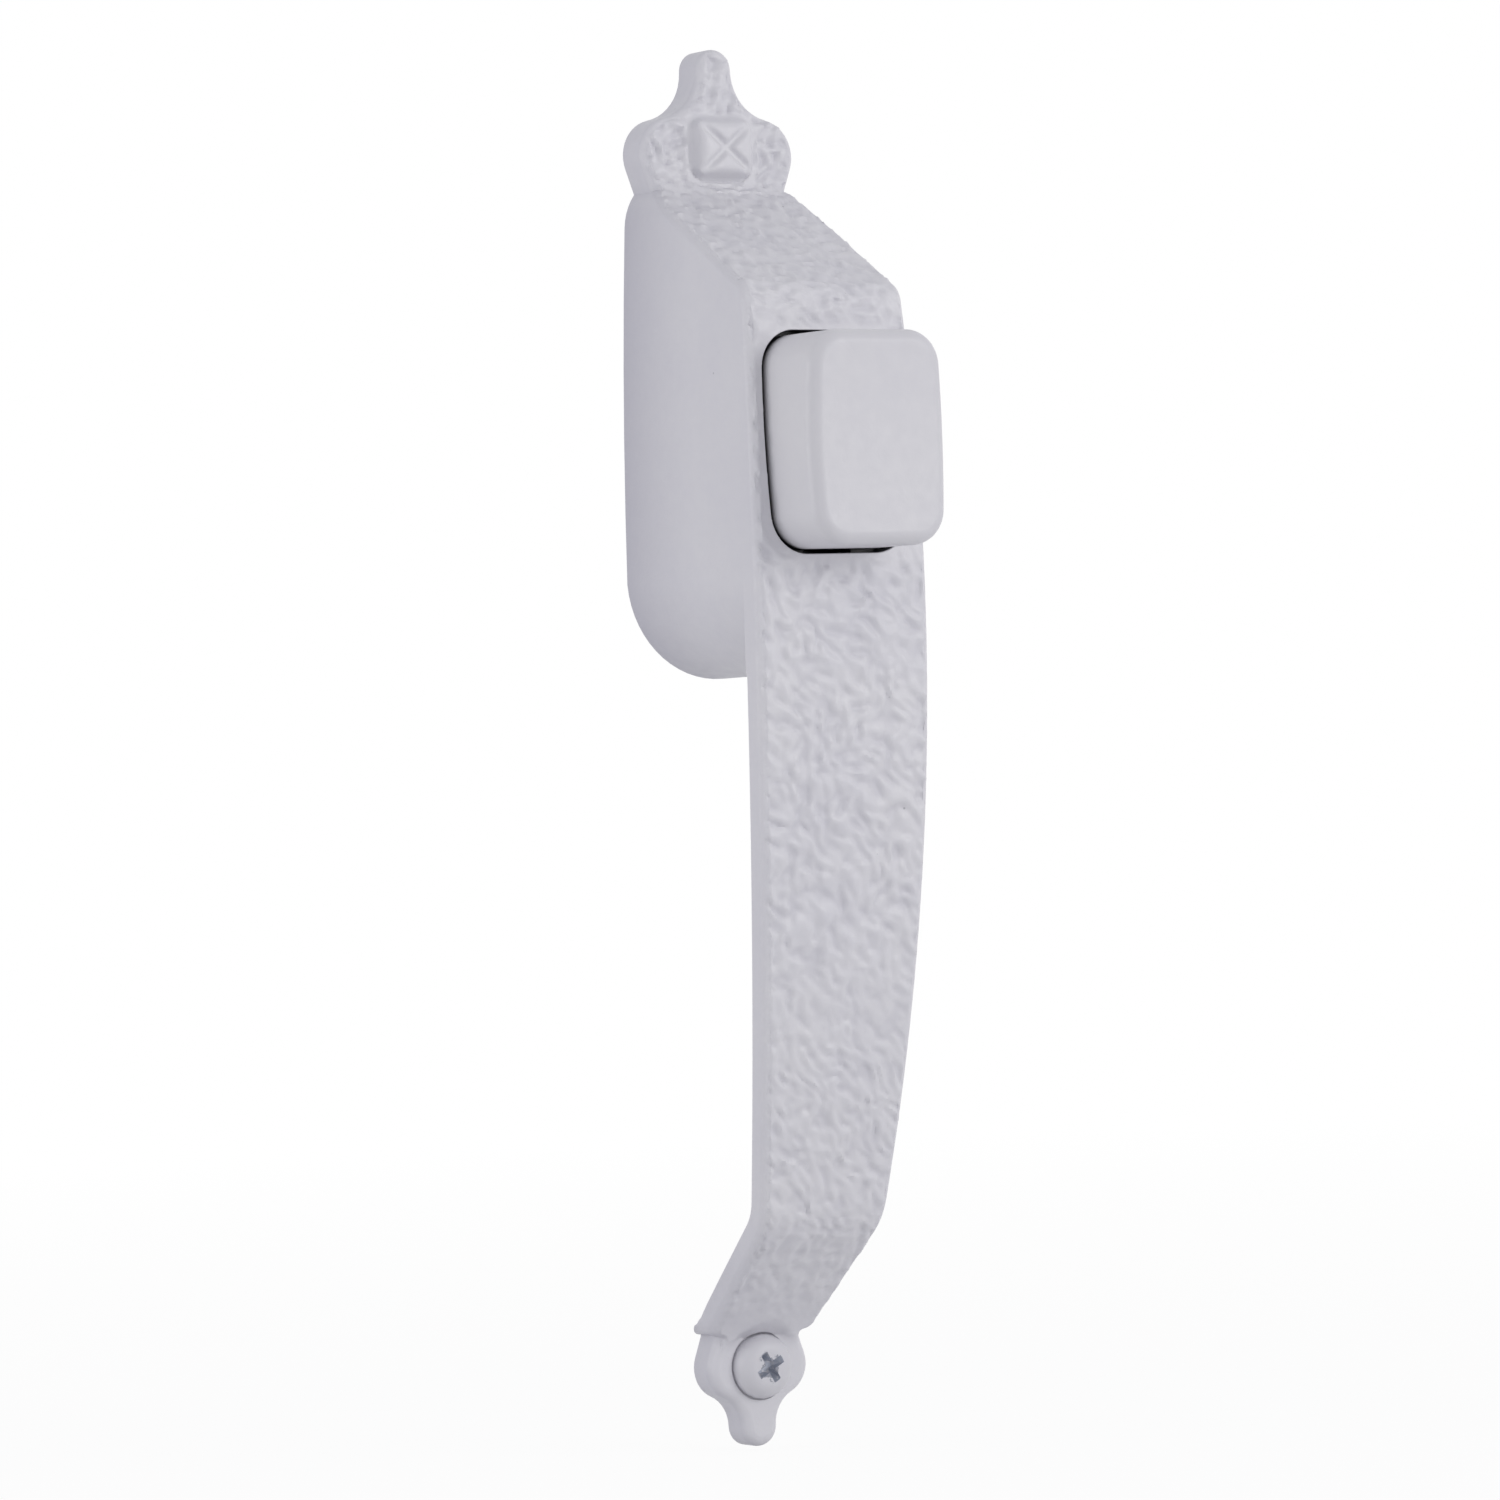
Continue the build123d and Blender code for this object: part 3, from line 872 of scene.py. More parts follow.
@dataclass
class CastHandle:
    """Hammered casting: finial, housing, grip and foot, in millimetres.

    A field with above in its name gives heights over the place that it names. The facing fields,
    wall_upright and the fades of side, finial and junction are shares of a normal.
    """

    profile: SideProfile = field(default_factory=SideProfile)
    opening: Opening = Opening()
    nail: NailHead = NailHead()
    ankle: Ankle = Ankle()
    tips: tuple[RoundTip, ...] = (
        RoundTip(middle=50.72, radius=2.7, face=5.0, edge=1.3, way=1),
        RoundTip(middle=-128.9, radius=2.7, face=4.2, edge=1.4, way=-1),
    )

    relief: HammerRelief = HammerRelief()
    upright_relief: HammerRelief = HammerRelief(lean_deg=88.0, along=2.0)
    low_relief: HammerRelief = HammerRelief(height=0.36, across=1.0, along=1.9, lean_deg=52.0)
    slope_relief: HammerRelief = HammerRelief(height=0.28, across=0.78, along=1.6, lean_deg=22.0)
    finial_relief: HammerRelief = HammerRelief(height=0.5, across=1.35, along=2.2, lean_deg=100.0)
    upright_patch: float = 6.5
    upright_noise: Span = (-0.05, 0.3)
    low_heights: Span = (-66.0, -84.0)
    slope_above_brow: Span = (-4.5, -2.0)
    relief_above_finial: Span = (-0.5, 0.5)

    top: float = 53.6
    half_width: float = 13.69
    strap: float = 3.3
    housing: Span = (-29.0, 33.0)
    finial_root: float = 35.1
    finial_face: float = 5.0
    foot_root: float = -117.0
    foot_face: float = 4.2
    foot_end: float = -119.6

    cell: float = 0.34
    far_cells: int = 3
    relax_step: float = 0.5
    flat_slack: float = 0.02
    skin_slack: float = 0.1
    bow_slack: float = 0.08
    proud_slack: float = 0.2
    front_depth: float = 1.6
    front_facing: float = 0.25
    plate_margin: float = 2.0
    bow_margin: float = 1.0

    sharp_rad: float = 0.9
    round_steps: int = 3
    grip_round: float = 0.45
    grip_ends: Span = (2.0, 1.5)
    back_facing: float = 0.5
    side_facing: float = 0.9

    side_fade: Span = (0.2, 0.75)
    finial_fade: Span = (0.55, 0.9)
    foot_above_root: Span = (0.0, 7.0)
    slope_above_root: Span = (5.0, 24.0)
    slope_share: float = 0.55
    grip_gain: float = 0.35
    upper_heights: Span = (-90.0, -30.0)
    upper_gain: float = 0.1
    hollow_shade_levels: Span = (0.1, -0.7)

    junction: float = 1.7
    junction_reach: float = 8.0
    junction_fade: Span = (0.2, 0.8)
    junction_from_seat: Span = (0.3, 1.8)
    junction_end: float = 0.5

    door_slack: float = 0.05
    wall_upright: float = 0.3
    ray_start: float = 0.01
    ray_length: float = 65.0

    paint: PaintFinish = PaintFinish(
        "Hammered white paint", tone=(0.715, 0.71, 0.735), bump=0.18, hollow_shade=0.26, door_shade=1.0
    )
    # Bare metal inside the housing, toned near black as painted shade in the hollow and on the opening's
    # walls.
    inside: PlatedFinish = PlatedFinish(
        "Bare die casting",
        tone=(0.16, 0.16, 0.17),
        bloom=(0.10, 0.10, 0.11),
        bloom_share=0.7,
        line_density=(400.0, 400.0, 400.0),
        roughness=0.55,
        metallic=0.5,
    )

    def build(self) -> Object:
        """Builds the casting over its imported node.

        Returns:
            The piece that stands for the node.
        """
        shape = bare_mesh("handle_body")
        self._mark_inside(shape)
        self._soften_edges(shape)
        for tip in self.tips:
            tip.refine(shape)
        self._slice(shape)
        self._blend_steps(shape)
        self._hammer(shape)
        finishes = [self.paint.material(), self.inside.material()]
        piece = finish_piece("hammered_handle", shape, finishes, Body.HANDLE)
        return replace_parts(piece, "handle_body")

    def _mark_inside(self, shape: BMesh) -> None:
        """Gives the hollow of the housing and the walls of the opening bare metal, toned near black as
        painted shade.

        Args:
            shape: The casting.
        """
        tree = BVHTree.FromBMesh(shape)
        sides = (Vector((1, 0, 0)), Vector((-1, 0, 0)))
        for face in shape.faces:
            middle = face.calc_center_median()
            spot = middle / MM
            back = self.profile.depth(spot.z) - self.strap + self.proud_slack
            in_rim = self.opening.holds(spot) and abs(face.normal.y) < self.wall_upright
            behind = in_rim or self.door_slack < -spot.y < back
            if not behind or not self.housing[0] < spot.z < self.housing[1]:
                continue
            start = middle + face.normal * self.ray_start * MM
            if all(tree.ray_cast(start, side, self.ray_length * MM)[0] is not None for side in sides):
                face.material_index = 1

    def _soften_edges(self, shape: BMesh) -> None:
        """Rounds the rim of the button's opening and the grip's back edges.

        Args:
            shape: The casting.
        """
        rim = []
        grip = []
        grip_heights = (self.foot_root + self.grip_ends[0], self.housing[0] - self.grip_ends[1])
        for edge in shape.edges:
            if len(edge.link_faces) != 2 or edge.calc_face_angle(0.0) < self.sharp_rad:
                continue
            middle = (edge.verts[0].co + edge.verts[1].co) / (2 * MM)
            if self.opening.holds(middle) and -middle.y > self.profile.depth(middle.z) - self.skin_slack:
                rim.append(edge)
            behind = max(face.normal.y for face in edge.link_faces) > self.back_facing
            beside = max(abs(face.normal.x) for face in edge.link_faces) > self.side_facing
            if behind and beside and grip_heights[0] < middle.z < grip_heights[1]:
                grip.append(edge)
        for edges, size in ((rim, self.opening.rim_round), (grip, self.grip_round)):
            bmesh.ops.bevel(
                shape,
                geom=edges,
                offset=size * MM,
                segments=self.round_steps,
                profile=0.5,
                affect="EDGES",
                clamp_overlap=False,
            )
        shape.normal_update()

    def _is_front(self, face: BMFace) -> bool:
        """True for faces of the hammered front, from the finial to the end of the lower slope."""
        middle = face.calc_center_median() / MM
        if face.normal.y > -self.front_facing or middle.z < self.foot_end:
            return False
        floor = self.profile.depth(middle.z) - self.front_depth
        if middle.z > self.finial_root - self.plate_margin:
            floor = 0.0
        if middle.z < self.foot_root + self.plate_margin:
            floor = self.foot_face - self.skin_slack
        return -middle.y > floor

    def _at_ankle(self, face: BMFace) -> bool:
        """True for faces near the step above the foot."""
        return self.ankle.holds(face.calc_center_median())

    def _slice(self, shape: BMesh) -> None:
        """Cuts the hammered front and the step above the foot into small cells.

        Args:
            shape: The casting.
        """
        up = Vector((0, 0, 1))
        across = Vector((1, 0, 0))
        out = Vector((0, -1, 0))
        whole = [*shape.verts, *shape.edges, *shape.faces]
        cut_by_planes(shape, whole, [(up * height * MM, up) for height in self.ankle.heights])
        front = [face for face in shape.faces if self._is_front(face) or self._at_ankle(face)]
        planes = self._planes(up, (self.ankle.heights[0], self.top))
        planes += self._planes(across, (-self.half_width, self.half_width))
        cut_by_planes(shape, with_borders(front), planes)
        step = [face for face in shape.faces if self._at_ankle(face)]
        planes = [(out * self.ankle.depths[0] * MM, out), *self._planes(out, self.ankle.depths)]
        cut_by_planes(shape, with_borders(step), planes)
        shape.normal_update()

    def _planes(self, axis: Vector, span: Span) -> list[tuple[Vector, Vector]]:
        """Planes that cut a span into cells.

        Args:
            axis: Normal of the planes.
            span: Ends of the span along the axis in millimetres, which get no plane.

        Returns:
            A point in metres and the normal of each plane.
        """
        count = math.ceil((span[1] - span[0]) / self.cell)
        places = [span[0] + (span[1] - span[0]) * i / count for i in range(1, count)]
        return [(axis * place * MM, axis) for place in places]

    def _blend_steps(self, shape: BMesh) -> None:
        """Rounds the nail-head and the step above the foot, as paint and casting do.

        Args:
            shape: The sliced casting.
        """
        near = [edge for edge in shape.edges if all(self.ankle.holds(vert.co) for vert in edge.verts)]
        bmesh.ops.dissolve_degenerate(shape, dist=self.ankle.sliver * MM, edges=near)
        torn = [edge for edge in shape.edges if edge.is_boundary]
        bmesh.ops.holes_fill(shape, edges=torn, sides=self.ankle.hole_sides)
        head = []
        rim = []
        step = []
        for vert in shape.verts:
            spot = vert.co / MM
            part = self.nail.part(spot)
            if -spot.y > self.finial_face - self.flat_slack and part < self.nail.reach:
                head.append((vert, 1.0))
                rim.append((vert, smoothstep(self.nail.rim, part)))
            if self.ankle.holds(vert.co):
                step.append((vert, self.ankle.share(spot)))
        rounds = ((head, self.nail.passes), (rim, self.nail.rim_passes), (step, self.ankle.passes))
        for verts, passes in rounds:
            for _ in range(passes):
                self._relax(verts)
        shape.normal_update()

    def _relax(self, verts: list[tuple[BMVert, float]]) -> None:
        """Moves points towards the mean of their neighbours, apart from points with a far neighbour.

        Args:
            verts: Points of a finely cut patch, each with its share of the move.
        """
        far = self.far_cells * self.cell * MM
        moves = []
        for vert, share in verts:
            around = [edge.other_vert(vert).co for edge in vert.link_edges]
            if share and max((spot - vert.co).length for spot in around) < far:
                mean = sum(around, Vector()) / len(around)
                moves.append((vert, vert.co.lerp(mean, self.relax_step * share)))
        for vert, spot in moves:
            vert.co = spot

    def _weight(self, spot: Vector, normal: Vector) -> float:
        """Share of the relief at a point.

        Args:
            spot: The point in millimetres.
            normal: Normal of the skin there.

        Returns:
            0 where the casting is smooth and 1 where it is fully hammered.
        """
        weight = 1.0 - smoothstep(self.side_fade, abs(normal.x))
        weight *= smoothstep(raised(self.foot_above_root, self.foot_root), spot.z)
        on_grip = smoothstep(raised(self.slope_above_root, self.foot_root), spot.z)
        weight *= self.slope_share + self.grip_gain * on_grip
        weight += self.upper_gain * weight * smoothstep(self.upper_heights, spot.z)
        weight *= smoothstep((0.0, self.opening.rim_smooth), self.opening.distance(spot))
        if spot.z > self.finial_root:
            weight *= smoothstep(self.finial_fade, -normal.y)
            weight *= smoothstep(self.nail.clear, self.nail.part(spot))
        return weight

    def _level(self, spot: Vector) -> float:
        """Height of the relief, whose strokes change over the casting.

        Args:
            spot: A point of the front in millimetres.

        Returns:
            Height in millimetres.
        """
        run = self.profile.run(spot.z)
        patch = NoiseLayer.PATCH.at(spot.x / self.upright_patch, run / self.upright_patch)
        level = self.relief.at(spot.x, run)
        for relief, span, value in (
            (self.upright_relief, self.upright_noise, patch),
            (self.low_relief, self.low_heights, spot.z),
            (self.slope_relief, raised(self.slope_above_brow, self.profile.brow[1]), spot.z),
            (self.finial_relief, raised(self.relief_above_finial, self.finial_root), spot.z),
        ):
            share = smoothstep(span, value)
            if share:
                level += (relief.at(spot.x, run) - level) * share
        return level

    def _junction_fill(self, spot: Vector) -> float:
        """Metal that rounds the hollow corners where the slopes meet finial and foot.

        Args:
            spot: A point of the front in millimetres.

        Returns:
            Depth to add there in millimetres.
        """
        sloped = self.profile.depth(spot.z)
        if spot.z > self.finial_root - self.junction_reach:
            flat = self.finial_face
            share = 1.0
        elif spot.z < self.foot_root + self.junction_reach:
            flat = self.foot_face
            share = smoothstep(self.junction_from_seat, self.ankle.from_seat(spot))
            share *= smoothstep((self.foot_end, self.foot_root + self.junction_end), spot.z)
        else:
            return 0.0
        if -spot.y > max(flat, sloped) + self.proud_slack:
            return 0.0
        return 0.5 * share * (math.hypot(sloped - flat, self.junction) - abs(sloped - flat))

    def _hammer(self, shape: BMesh) -> None:
        """Rounds the facets of the bowed front and raises its relief.

        Args:
            shape: The sliced casting.
        """
        hollow = shape.verts.layers.float.new("hollow")
        front = {vert for face in shape.faces if self._is_front(face) for vert in face.verts}
        moves = []
        for vert in front:
            spot = vert.co / MM
            weight = self._weight(spot, vert.normal)
            level = self._level(spot)
            # Mask of painted shade in the relief's valleys, which the paint reads as the hollow attribute.
            vert[hollow] = weight * smoothstep(self.hollow_shade_levels, level / self.relief.height)
            depth = self.profile.depth(spot.z)
            on_bow = spot.z < self.finial_root - self.bow_margin and abs(-spot.y - depth) < self.bow_slack
            true_y = -depth if on_bow else spot.y
            true_y -= self._junction_fill(spot) * (1.0 - smoothstep(self.junction_fade, abs(vert.normal.x)))
            moves.append((vert, Vector((spot.x, true_y, spot.z)) + vert.normal * (weight * level)))
        for vert, spot in moves:
            vert.co = spot * MM
        shape.normal_update()


@dataclass
class PressButton:
    """Smooth hollow button."""

    # The button's paint has near-black painted shade on the part inside the housing.
    paint: PaintFinish = PaintFinish(
        "Smooth white paint",
        tone=(0.66, 0.655, 0.68),
        shade=(0.60, 0.595, 0.645),
        cloud=0.35,
        specks=0.35,
        bump=0.08,
        gap_shade=True,
    )

    def build(self) -> Object:
        """Dresses the button.

        Returns:
            The piece that stands for the node.
        """
        shape = bare_mesh("push_button")
        piece = finish_piece("smooth_button", shape, [self.paint.material()], Body.BUTTON)
        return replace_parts(piece, "push_button")


@dataclass
class PushRod:
    """Turned rod behind the button."""

    zinc: PlatedFinish = PlatedFinish(
        "Bright zinc plate", tone=(0.70, 0.72, 0.74), bloom=(0.60, 0.63, 0.68), bloom_share=0.6
    )

    def build(self) -> Object:
        """Dresses the rod.

        Returns:
            The piece that stands for the node.
        """
        shape = bare_mesh("push_rod")
        piece = finish_piece("turned_rod", shape, [self.zinc.material()], Body.BUTTON)
        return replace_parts(piece, "push_rod")


@dataclass
class ReturnSpring:
    """Coil spring with closed ends between guide plate and button, in millimetres."""

    mean_radius: float = 4.8
    wire: float = 0.45
    start: float = 3.42
    end: float = 30.27
    travel: float = 8.0
    turns: float = 8.5
    closed_turns: float = 1.1
    closed_gap: float = 0.05
    per_turn: int = 36
    sides: int = 12
    steel: PlatedFinish = PlatedFinish(
        "Drawn spring wire",
        tone=(0.42, 0.43, 0.45),
        bloom=(0.30, 0.30, 0.32),
        line_density=(900.0, 900.0, 900.0),
        roughness=0.3,
    )

    def _depth(self, turn: float) -> float:
        """Depth of the wire's middle after a number of turns.

        Args:
            turn: Place along the coil, in turns.

        Returns:
            Depth from the door in millimetres.
        """
        low = self.start + self.wire
        high = self.end - self.wire
        pitch = (2.0 + self.closed_gap) * self.wire
        if turn < self.closed_turns:
            return low + pitch * turn
        if turn > self.turns - self.closed_turns:
            return high - pitch * (self.turns - turn)
        share = (turn - self.closed_turns) / (self.turns - 2 * self.closed_turns)
        near = low + pitch * self.closed_turns
        far = high - pitch * self.closed_turns
        return near + (far - near) * share

    def _ring(self, shape: BMesh, turn: float) -> list[BMVert]:
        """Adds one ring of the wire's skin.

        Args:
            shape: The coil so far.
            turn: Place along the coil, in turns.

        Returns:
            The ring's points.
        """
        angle = 2 * math.pi * turn
        outward = Vector((math.cos(angle), 0.0, math.sin(angle)))
        middle = outward * self.mean_radius + Vector((0.0, -self._depth(turn), 0.0))
        ring = []
        for i in range(self.sides):
            tilt = 2 * math.pi * i / self.sides
            off = outward * math.cos(tilt) + Vector((0, math.sin(tilt), 0))
            ring.append(shape.verts.new((middle + self.wire * off) * MM))
        return ring

    def build(self) -> Object:
        """Winds the coil.

        Returns:
            The piece that stands for the node.
        """
        shape = bmesh.new()
        count = round(self.turns * self.per_turn)
        rings = [self._ring(shape, self.turns * i / count) for i in range(count + 1)]
        skin_rings(shape, rings)
        shape.faces.new(rings[0][::-1])
        shape.faces.new(rings[-1])
        bmesh.ops.recalc_face_normals(shape, faces=shape.faces)
        piece = finish_piece("coil_spring", shape, [self.steel.material()], Body.HANDLE)
        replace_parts(piece, "return_spring")
        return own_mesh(piece)


def skin_rings(shape: BMesh, rings: list[list[BMVert]]) -> None:
    """Joins rings of points by a skin of four-sided faces.

    Args:
        shape: The shape that the points belong to.
        rings: Rings with equal numbers of points.
    """
    for a, b in zip(rings, rings[1:]):
        for i in range(len(a)):
            j = (i + 1) % len(a)
            shape.faces.new((a[i], b[i], b[j], a[j]))


@dataclass
class GuidePlate:
    """Stamped plate that closes the housing and guides the rod."""

    zinc: PlatedFinish = PlatedFinish(
        "Dull zinc plate",
        tone=(0.58, 0.58, 0.56),
        bloom=(0.50, 0.49, 0.45),
        bloom_share=0.8,
        line_density=(300.0, 300.0, 2600.0),
        roughness=0.42,
    )

    def build(self) -> Object:
        """Dresses the plate.

        Returns:
            The piece that stands for the node.
        """
        shape = bare_mesh("guide_plate")
        piece = finish_piece("stamped_plate", shape, [self.zinc.material()], Body.HANDLE)
        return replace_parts(piece, "guide_plate")


@dataclass
class Screws:
    """Painted foot screw with a bare cross recess, and the two plate screws, in millimetres."""

    foot_seat: float = 3.8
    shank: float = 2.08
    core: float = 1.5
    pitch: float = 1.41
    length: float = 12.7
    point: float = 4.5
    blunt: float = 0.02
    crest: Span = (0.45, 0.95)
    around: int = 28
    per_pitch: int = 10
    head_height: float = 2.9
    crown_drop: float = 0.35
    crown_facing: float = 0.8
    recess_reach: float = 2.4
    recess_floor: float = 0.5
    seat_slack: float = 0.05
    shank_slack: float = 0.01
    plate_offset: float = 8.4
    plate_seat: float = 2.2
    plate_head: float = 1.4
    slot_width: float = 0.62
    slot_reach: float = 1.35
    slot_depth: float = 0.8
    slot_taper: float = 0.55
    slot_over: float = 0.2
    paint: PaintFinish = PaintFinish(
        "White screw paint", tone=(0.66, 0.655, 0.68), specks=0.2, bump=0.08, chip_radius=1.32
    )
    bare: PlatedFinish = PlatedFinish(
        "Bare screw recess",
        tone=(0.56, 0.59, 0.66),
        bloom=(0.33, 0.35, 0.41),
        bloom_share=0.9,
        line_density=(900.0, 900.0, 900.0),
        roughness=0.5,
        metallic=0.4,
        flecks=0.9,
    )
    zinc: PlatedFinish = PlatedFinish(
        "Plate screw zinc",
        tone=(0.66, 0.68, 0.70),
        bloom=(0.55, 0.58, 0.62),
        bloom_share=0.6,
        line_density=(900.0, 900.0, 900.0),
        roughness=0.32,
    )

    def build_foot(self) -> Object:
        """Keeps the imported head, cuts a thread on the shank and bares the recess.

        Returns:
            The piece that stands for the node.
        """
        shape = bare_mesh("foot_screw")
        shank_start = (self.shank_slack - self.foot_seat) * MM
        shank = [face for face in shape.faces if face.calc_center_median().y > shank_start]
        bmesh.ops.delete(shape, geom=shank, context="FACES")
        self._thread(shape)
        for face in shape.faces:
            if self._is_bare(face):
                face.material_index = 1
        shape.normal_update()
        finishes = [self.paint.material(), self.bare.material()]
        piece = finish_piece("foot_pan_screw", shape, finishes, Body.HANDLE)
        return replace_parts(piece, "foot_screw")

    def _is_bare(self, face: BMFace) -> bool:
        """True for faces of the foot screw's shank and of its recess.

        Args:
            face: A face of the screw.

        Returns:
            Whether it has no paint.
        """
        middle = face.calc_center_median() / MM
        off = math.hypot(middle.x, middle.z - FOOT_SCREW_HEIGHT)
        depth = -middle.y - self.foot_seat
        on_crown = face.normal.y < -self.crown_facing and depth > self.head_height - self.crown_drop
        in_recess = off < self.recess_reach and depth > self.recess_floor and not on_crown
        return in_recess or depth < self.seat_slack

    def _thread(self, shape: BMesh) -> None:
        """Adds a threaded shank with a gimlet point behind the head.

        Args:
            shape: The screw.
        """
        rings = []
        count = round(self.length / self.pitch * self.per_pitch)
        for k in range(count + 1):
            along = self.length * k / count
            taper = min(1.0, (self.length - along) / self.point + self.blunt)
            ring = []
            for i in range(self.around):
                turn = i / self.around
                wave = abs(((along / self.pitch - turn) % 1.0) * 2.0 - 1.0)
                crest = smoothstep(self.crest, wave) * min(1.0, along / self.pitch)
                radius = taper * (self.core + (self.shank - self.core) * crest)
                angle = 2 * math.pi * turn
                height = FOOT_SCREW_HEIGHT + radius * math.sin(angle)
                spot = Vector((radius * math.cos(angle), along - self.foot_seat, height))
                ring.append(shape.verts.new(spot * MM))
            rings.append(ring)
        skin_rings(shape, rings)
        shape.faces.new(rings[-1])

    def _recess_cutter(self, side: float) -> Object:
        """Makes the cross that is cut into one plate screw's head.

        Args:
            side: Place of the screw across the plate in millimetres.

        Returns:
            A loose object, used once.
        """
        cutter = bmesh.new()
        mouth = -self.plate_seat + self.plate_head + self.slot_over
        bottom = mouth - self.slot_depth - self.slot_over
        for turned in (False, True):
            for vert in bmesh.ops.create_cube(cutter, size=1.0)["verts"]:
                deep = vert.co.y < 0
                reach = 2 * self.slot_reach * (self.slot_taper if deep else 1.0)
                spread = (self.slot_width, reach) if turned else (reach, self.slot_width)
                y = bottom if deep else mouth
                vert.co = Vector((vert.co.x * spread[0] + side, y, vert.co.z * spread[1])) * MM
        mesh = bpy.data.meshes.new("recess_cutter")
        bmesh.ops.recalc_face_normals(cutter, faces=cutter.faces)
        cutter.to_mesh(mesh)
        cutter.free()
        loose = bpy.data.objects.new("recess_cutter", mesh)
        bpy.context.scene.collection.objects.link(loose)
        return loose

    def build_plate(self) -> Object:
        """Cuts the cross recesses into the plate screws.

        Returns:
            The piece that stands for the node.
        """
        shape = bare_mesh("plate_screws")
        finishes = [self.zinc.material()]
        piece = finish_piece("plate_pan_screws", shape, finishes, Body.HANDLE)
        cutters = [self._recess_cutter(side * self.plate_offset) for side in (1, -1)]
        for cutter in cutters:
            cut = piece.modifiers.new("recess", "BOOLEAN")
            cut.object = cutter
            cut.operation = "DIFFERENCE"
            cut.use_self = True
        graph = bpy.context.evaluated_depsgraph_get()
        cut_mesh = bpy.data.meshes.new_from_object(piece.evaluated_get(graph))
        piece.modifiers.clear()
        piece.data = cut_mesh
        cut_mesh.set_sharp_from_angle(angle=math.radians(CREASE_DEG))
        for cutter in cutters:
            bpy.data.objects.remove(cutter)
        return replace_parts(piece, "plate_screws")


@dataclass(frozen=True)
class LightPanel:
    """Soft square lamp, in millimetres and watts."""

    name: str
    place: tuple[float, float, float]
    size: float
    power: float
    colour: Colour = (1.0, 0.99, 0.98)

    def hang(self, look: tuple[float, float, float]) -> None:
        """Hangs the lamp.

        Args:
            look: Place in millimetres that it faces.
        """
        lamp = bpy.data.lights.new(self.name, "AREA")
        lamp.size = self.size * MM
        lamp.energy = self.power
        lamp.color = self.colour
        hung = bpy.data.objects.new(self.name, lamp)
        bpy.context.scene.collection.objects.link(hung)
        hung.location = Vector(self.place) * MM
        hung.rotation_mode = "QUATERNION"
        hung.rotation_quaternion = (Vector(look) * MM - hung.location).to_track_quat("-Z", "Y")


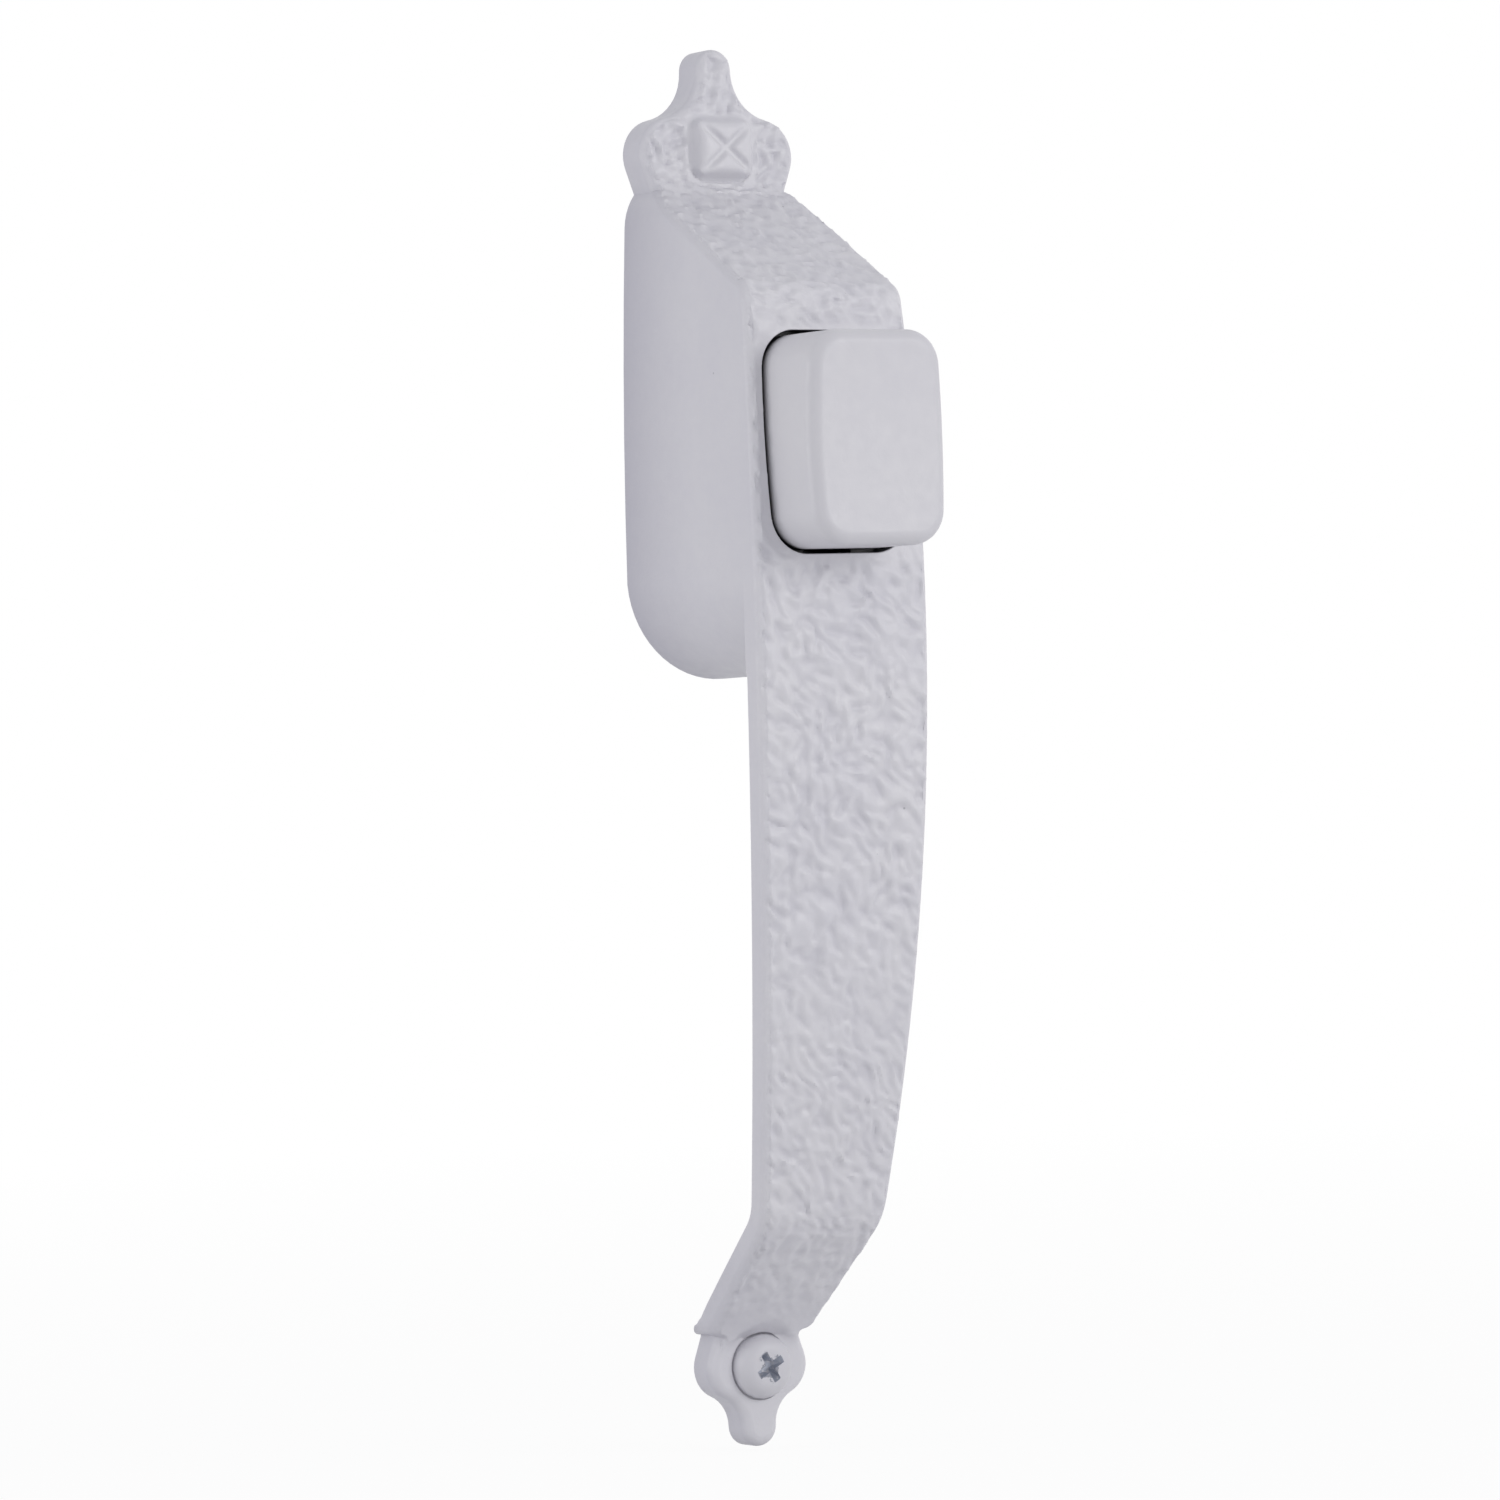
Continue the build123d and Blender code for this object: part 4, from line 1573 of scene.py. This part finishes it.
@dataclass
class Studio:
    """White floor, soft lights and the camera, in millimetres and degrees."""

    look: tuple[float, float, float] = (0.0, -7.1, -39.4)
    distance: float = 870.0
    azimuth: float = -33.0
    roll: float = -2.1
    lens: float = 158.2
    sensor: float = 36.0
    clip: Span = (10.0, 50000.0)
    floor_height: float = -132.2
    floor_size: float = 8000.0
    floor_tone: Colour = (0.78, 0.78, 0.79)
    shadow_span: Span = (100.0, 700.0)
    shadow_white: float = 0.94
    horizon: Colour = (0.48, 0.48, 0.51)
    zenith: Colour = (0.64, 0.64, 0.67)
    panels: tuple[LightPanel, ...] = (
        LightPanel("left_panel", place=(-470.0, 95.0, 30.0), size=300.0, power=0.6),
        LightPanel("right_panel", place=(310.0, -600.0, 135.0), size=340.0, power=1.42),
    )

    def build(self) -> None:
        """Sets the view, the world, the floor, the lights and the camera."""
        scene = bpy.context.scene
        scene.view_settings.view_transform = "Standard"
        self._world()
        self._floor()
        for panel in self.panels:
            panel.hang(self.look)
        self._camera()

    def _seen_white(self, board: Board) -> NodeSocket:
        """Mask of the rays that should meet plain white.

        Args:
            board: Board of the world or of a material.

        Returns:
            1 for camera, glossy and transmission rays.
        """
        path = board.node("ShaderNodeLightPath")
        seen = board.maths("MAXIMUM", path.outputs["Is Camera Ray"], path.outputs["Is Glossy Ray"])
        return board.maths("MAXIMUM", seen, path.outputs["Is Transmission Ray"])

    def _world(self) -> None:
        """Lights the scene softly, most from above, and shows white behind it."""
        world = bpy.data.worlds.new("White tent")
        bpy.context.scene.world = world
        world.use_nodes = True
        world.node_tree.nodes.clear()
        board = Board(world.node_tree)
        glow = board.node("ShaderNodeBackground", Strength=1.0)
        towards = board.split(board.node("ShaderNodeTexCoord").outputs["Generated"])
        sky = board.blend(board.spread(towards["Z"], (0.0, 1.0)), rgba(self.horizon), rgba(self.zenith))
        board.join(board.blend(self._seen_white(board), sky, WHITE), glow.inputs["Color"])
        output = board.node("ShaderNodeOutputWorld")
        board.join(glow.outputs["Background"], output.inputs["Surface"])

    def _floor(self) -> None:
        """Lays a pale floor that keeps a faint shadow."""
        place = (0.0, 0.0, self.floor_height * MM)
        bpy.ops.mesh.primitive_plane_add(size=self.floor_size * MM, location=place)
        floor = bpy.context.object
        floor.name = "pale_floor"
        made = bpy.data.materials.new("Pale floor")
        made.use_nodes = True
        made.node_tree.nodes.clear()
        board = Board(made.node_tree)
        matt = board.node("ShaderNodeBsdfDiffuse", Color=rgba(self.floor_tone))
        white = board.node("ShaderNodeEmission", Color=WHITE, Strength=1.0)
        mix = board.node("ShaderNodeMixShader")
        away = board.node("ShaderNodeVectorMath")
        away.operation = "LENGTH"
        board.join(board.place(), away.inputs[0])
        pale = board.spread(away.outputs["Value"], metres(self.shadow_span), (self.shadow_white, 1.0))
        board.join(board.maths("MULTIPLY", self._seen_white(board), pale), mix.inputs["Fac"])
        board.join(matt.outputs["BSDF"], mix.inputs[1])
        board.join(white.outputs["Emission"], mix.inputs[2])
        output = board.node("ShaderNodeOutputMaterial")
        board.join(mix.outputs["Shader"], output.inputs["Surface"])
        floor.data.materials.append(made)

    def _camera(self) -> None:
        """Stands the camera level, at the handle's left front."""
        turn = math.radians(self.azimuth)
        back = Vector((math.sin(turn), -math.cos(turn), 0.0))
        data = bpy.data.cameras.new("photo_camera")
        data.lens = self.lens
        data.sensor_width = self.sensor
        data.clip_start, data.clip_end = metres(self.clip)
        camera = bpy.data.objects.new("photo_camera", data)
        bpy.context.scene.collection.objects.link(camera)
        camera.location = (Vector(self.look) + back * self.distance) * MM
        camera.rotation_mode = "QUATERNION"
        roll = Quaternion((0.0, 0.0, 1.0), math.radians(self.roll))
        camera.rotation_quaternion = (-back).to_track_quat("-Z", "Y") @ roll
        bpy.context.scene.camera = camera


def main() -> None:
    """Builds each piece in order and reports it."""
    logging.basicConfig(level=logging.INFO, format="%(name)s %(message)s")
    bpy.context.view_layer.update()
    screws = Screws()
    makers = (
        CastHandle().build,
        PressButton().build,
        PushRod().build,
        ReturnSpring().build,
        GuidePlate().build,
        screws.build_plate,
        screws.build_foot,
    )
    for make in makers:
        piece = make()
        LOG.info("%s has %d faces", piece.name, len(piece.data.polygons))
    Studio().build()


if __name__ == "__main__":
    main()
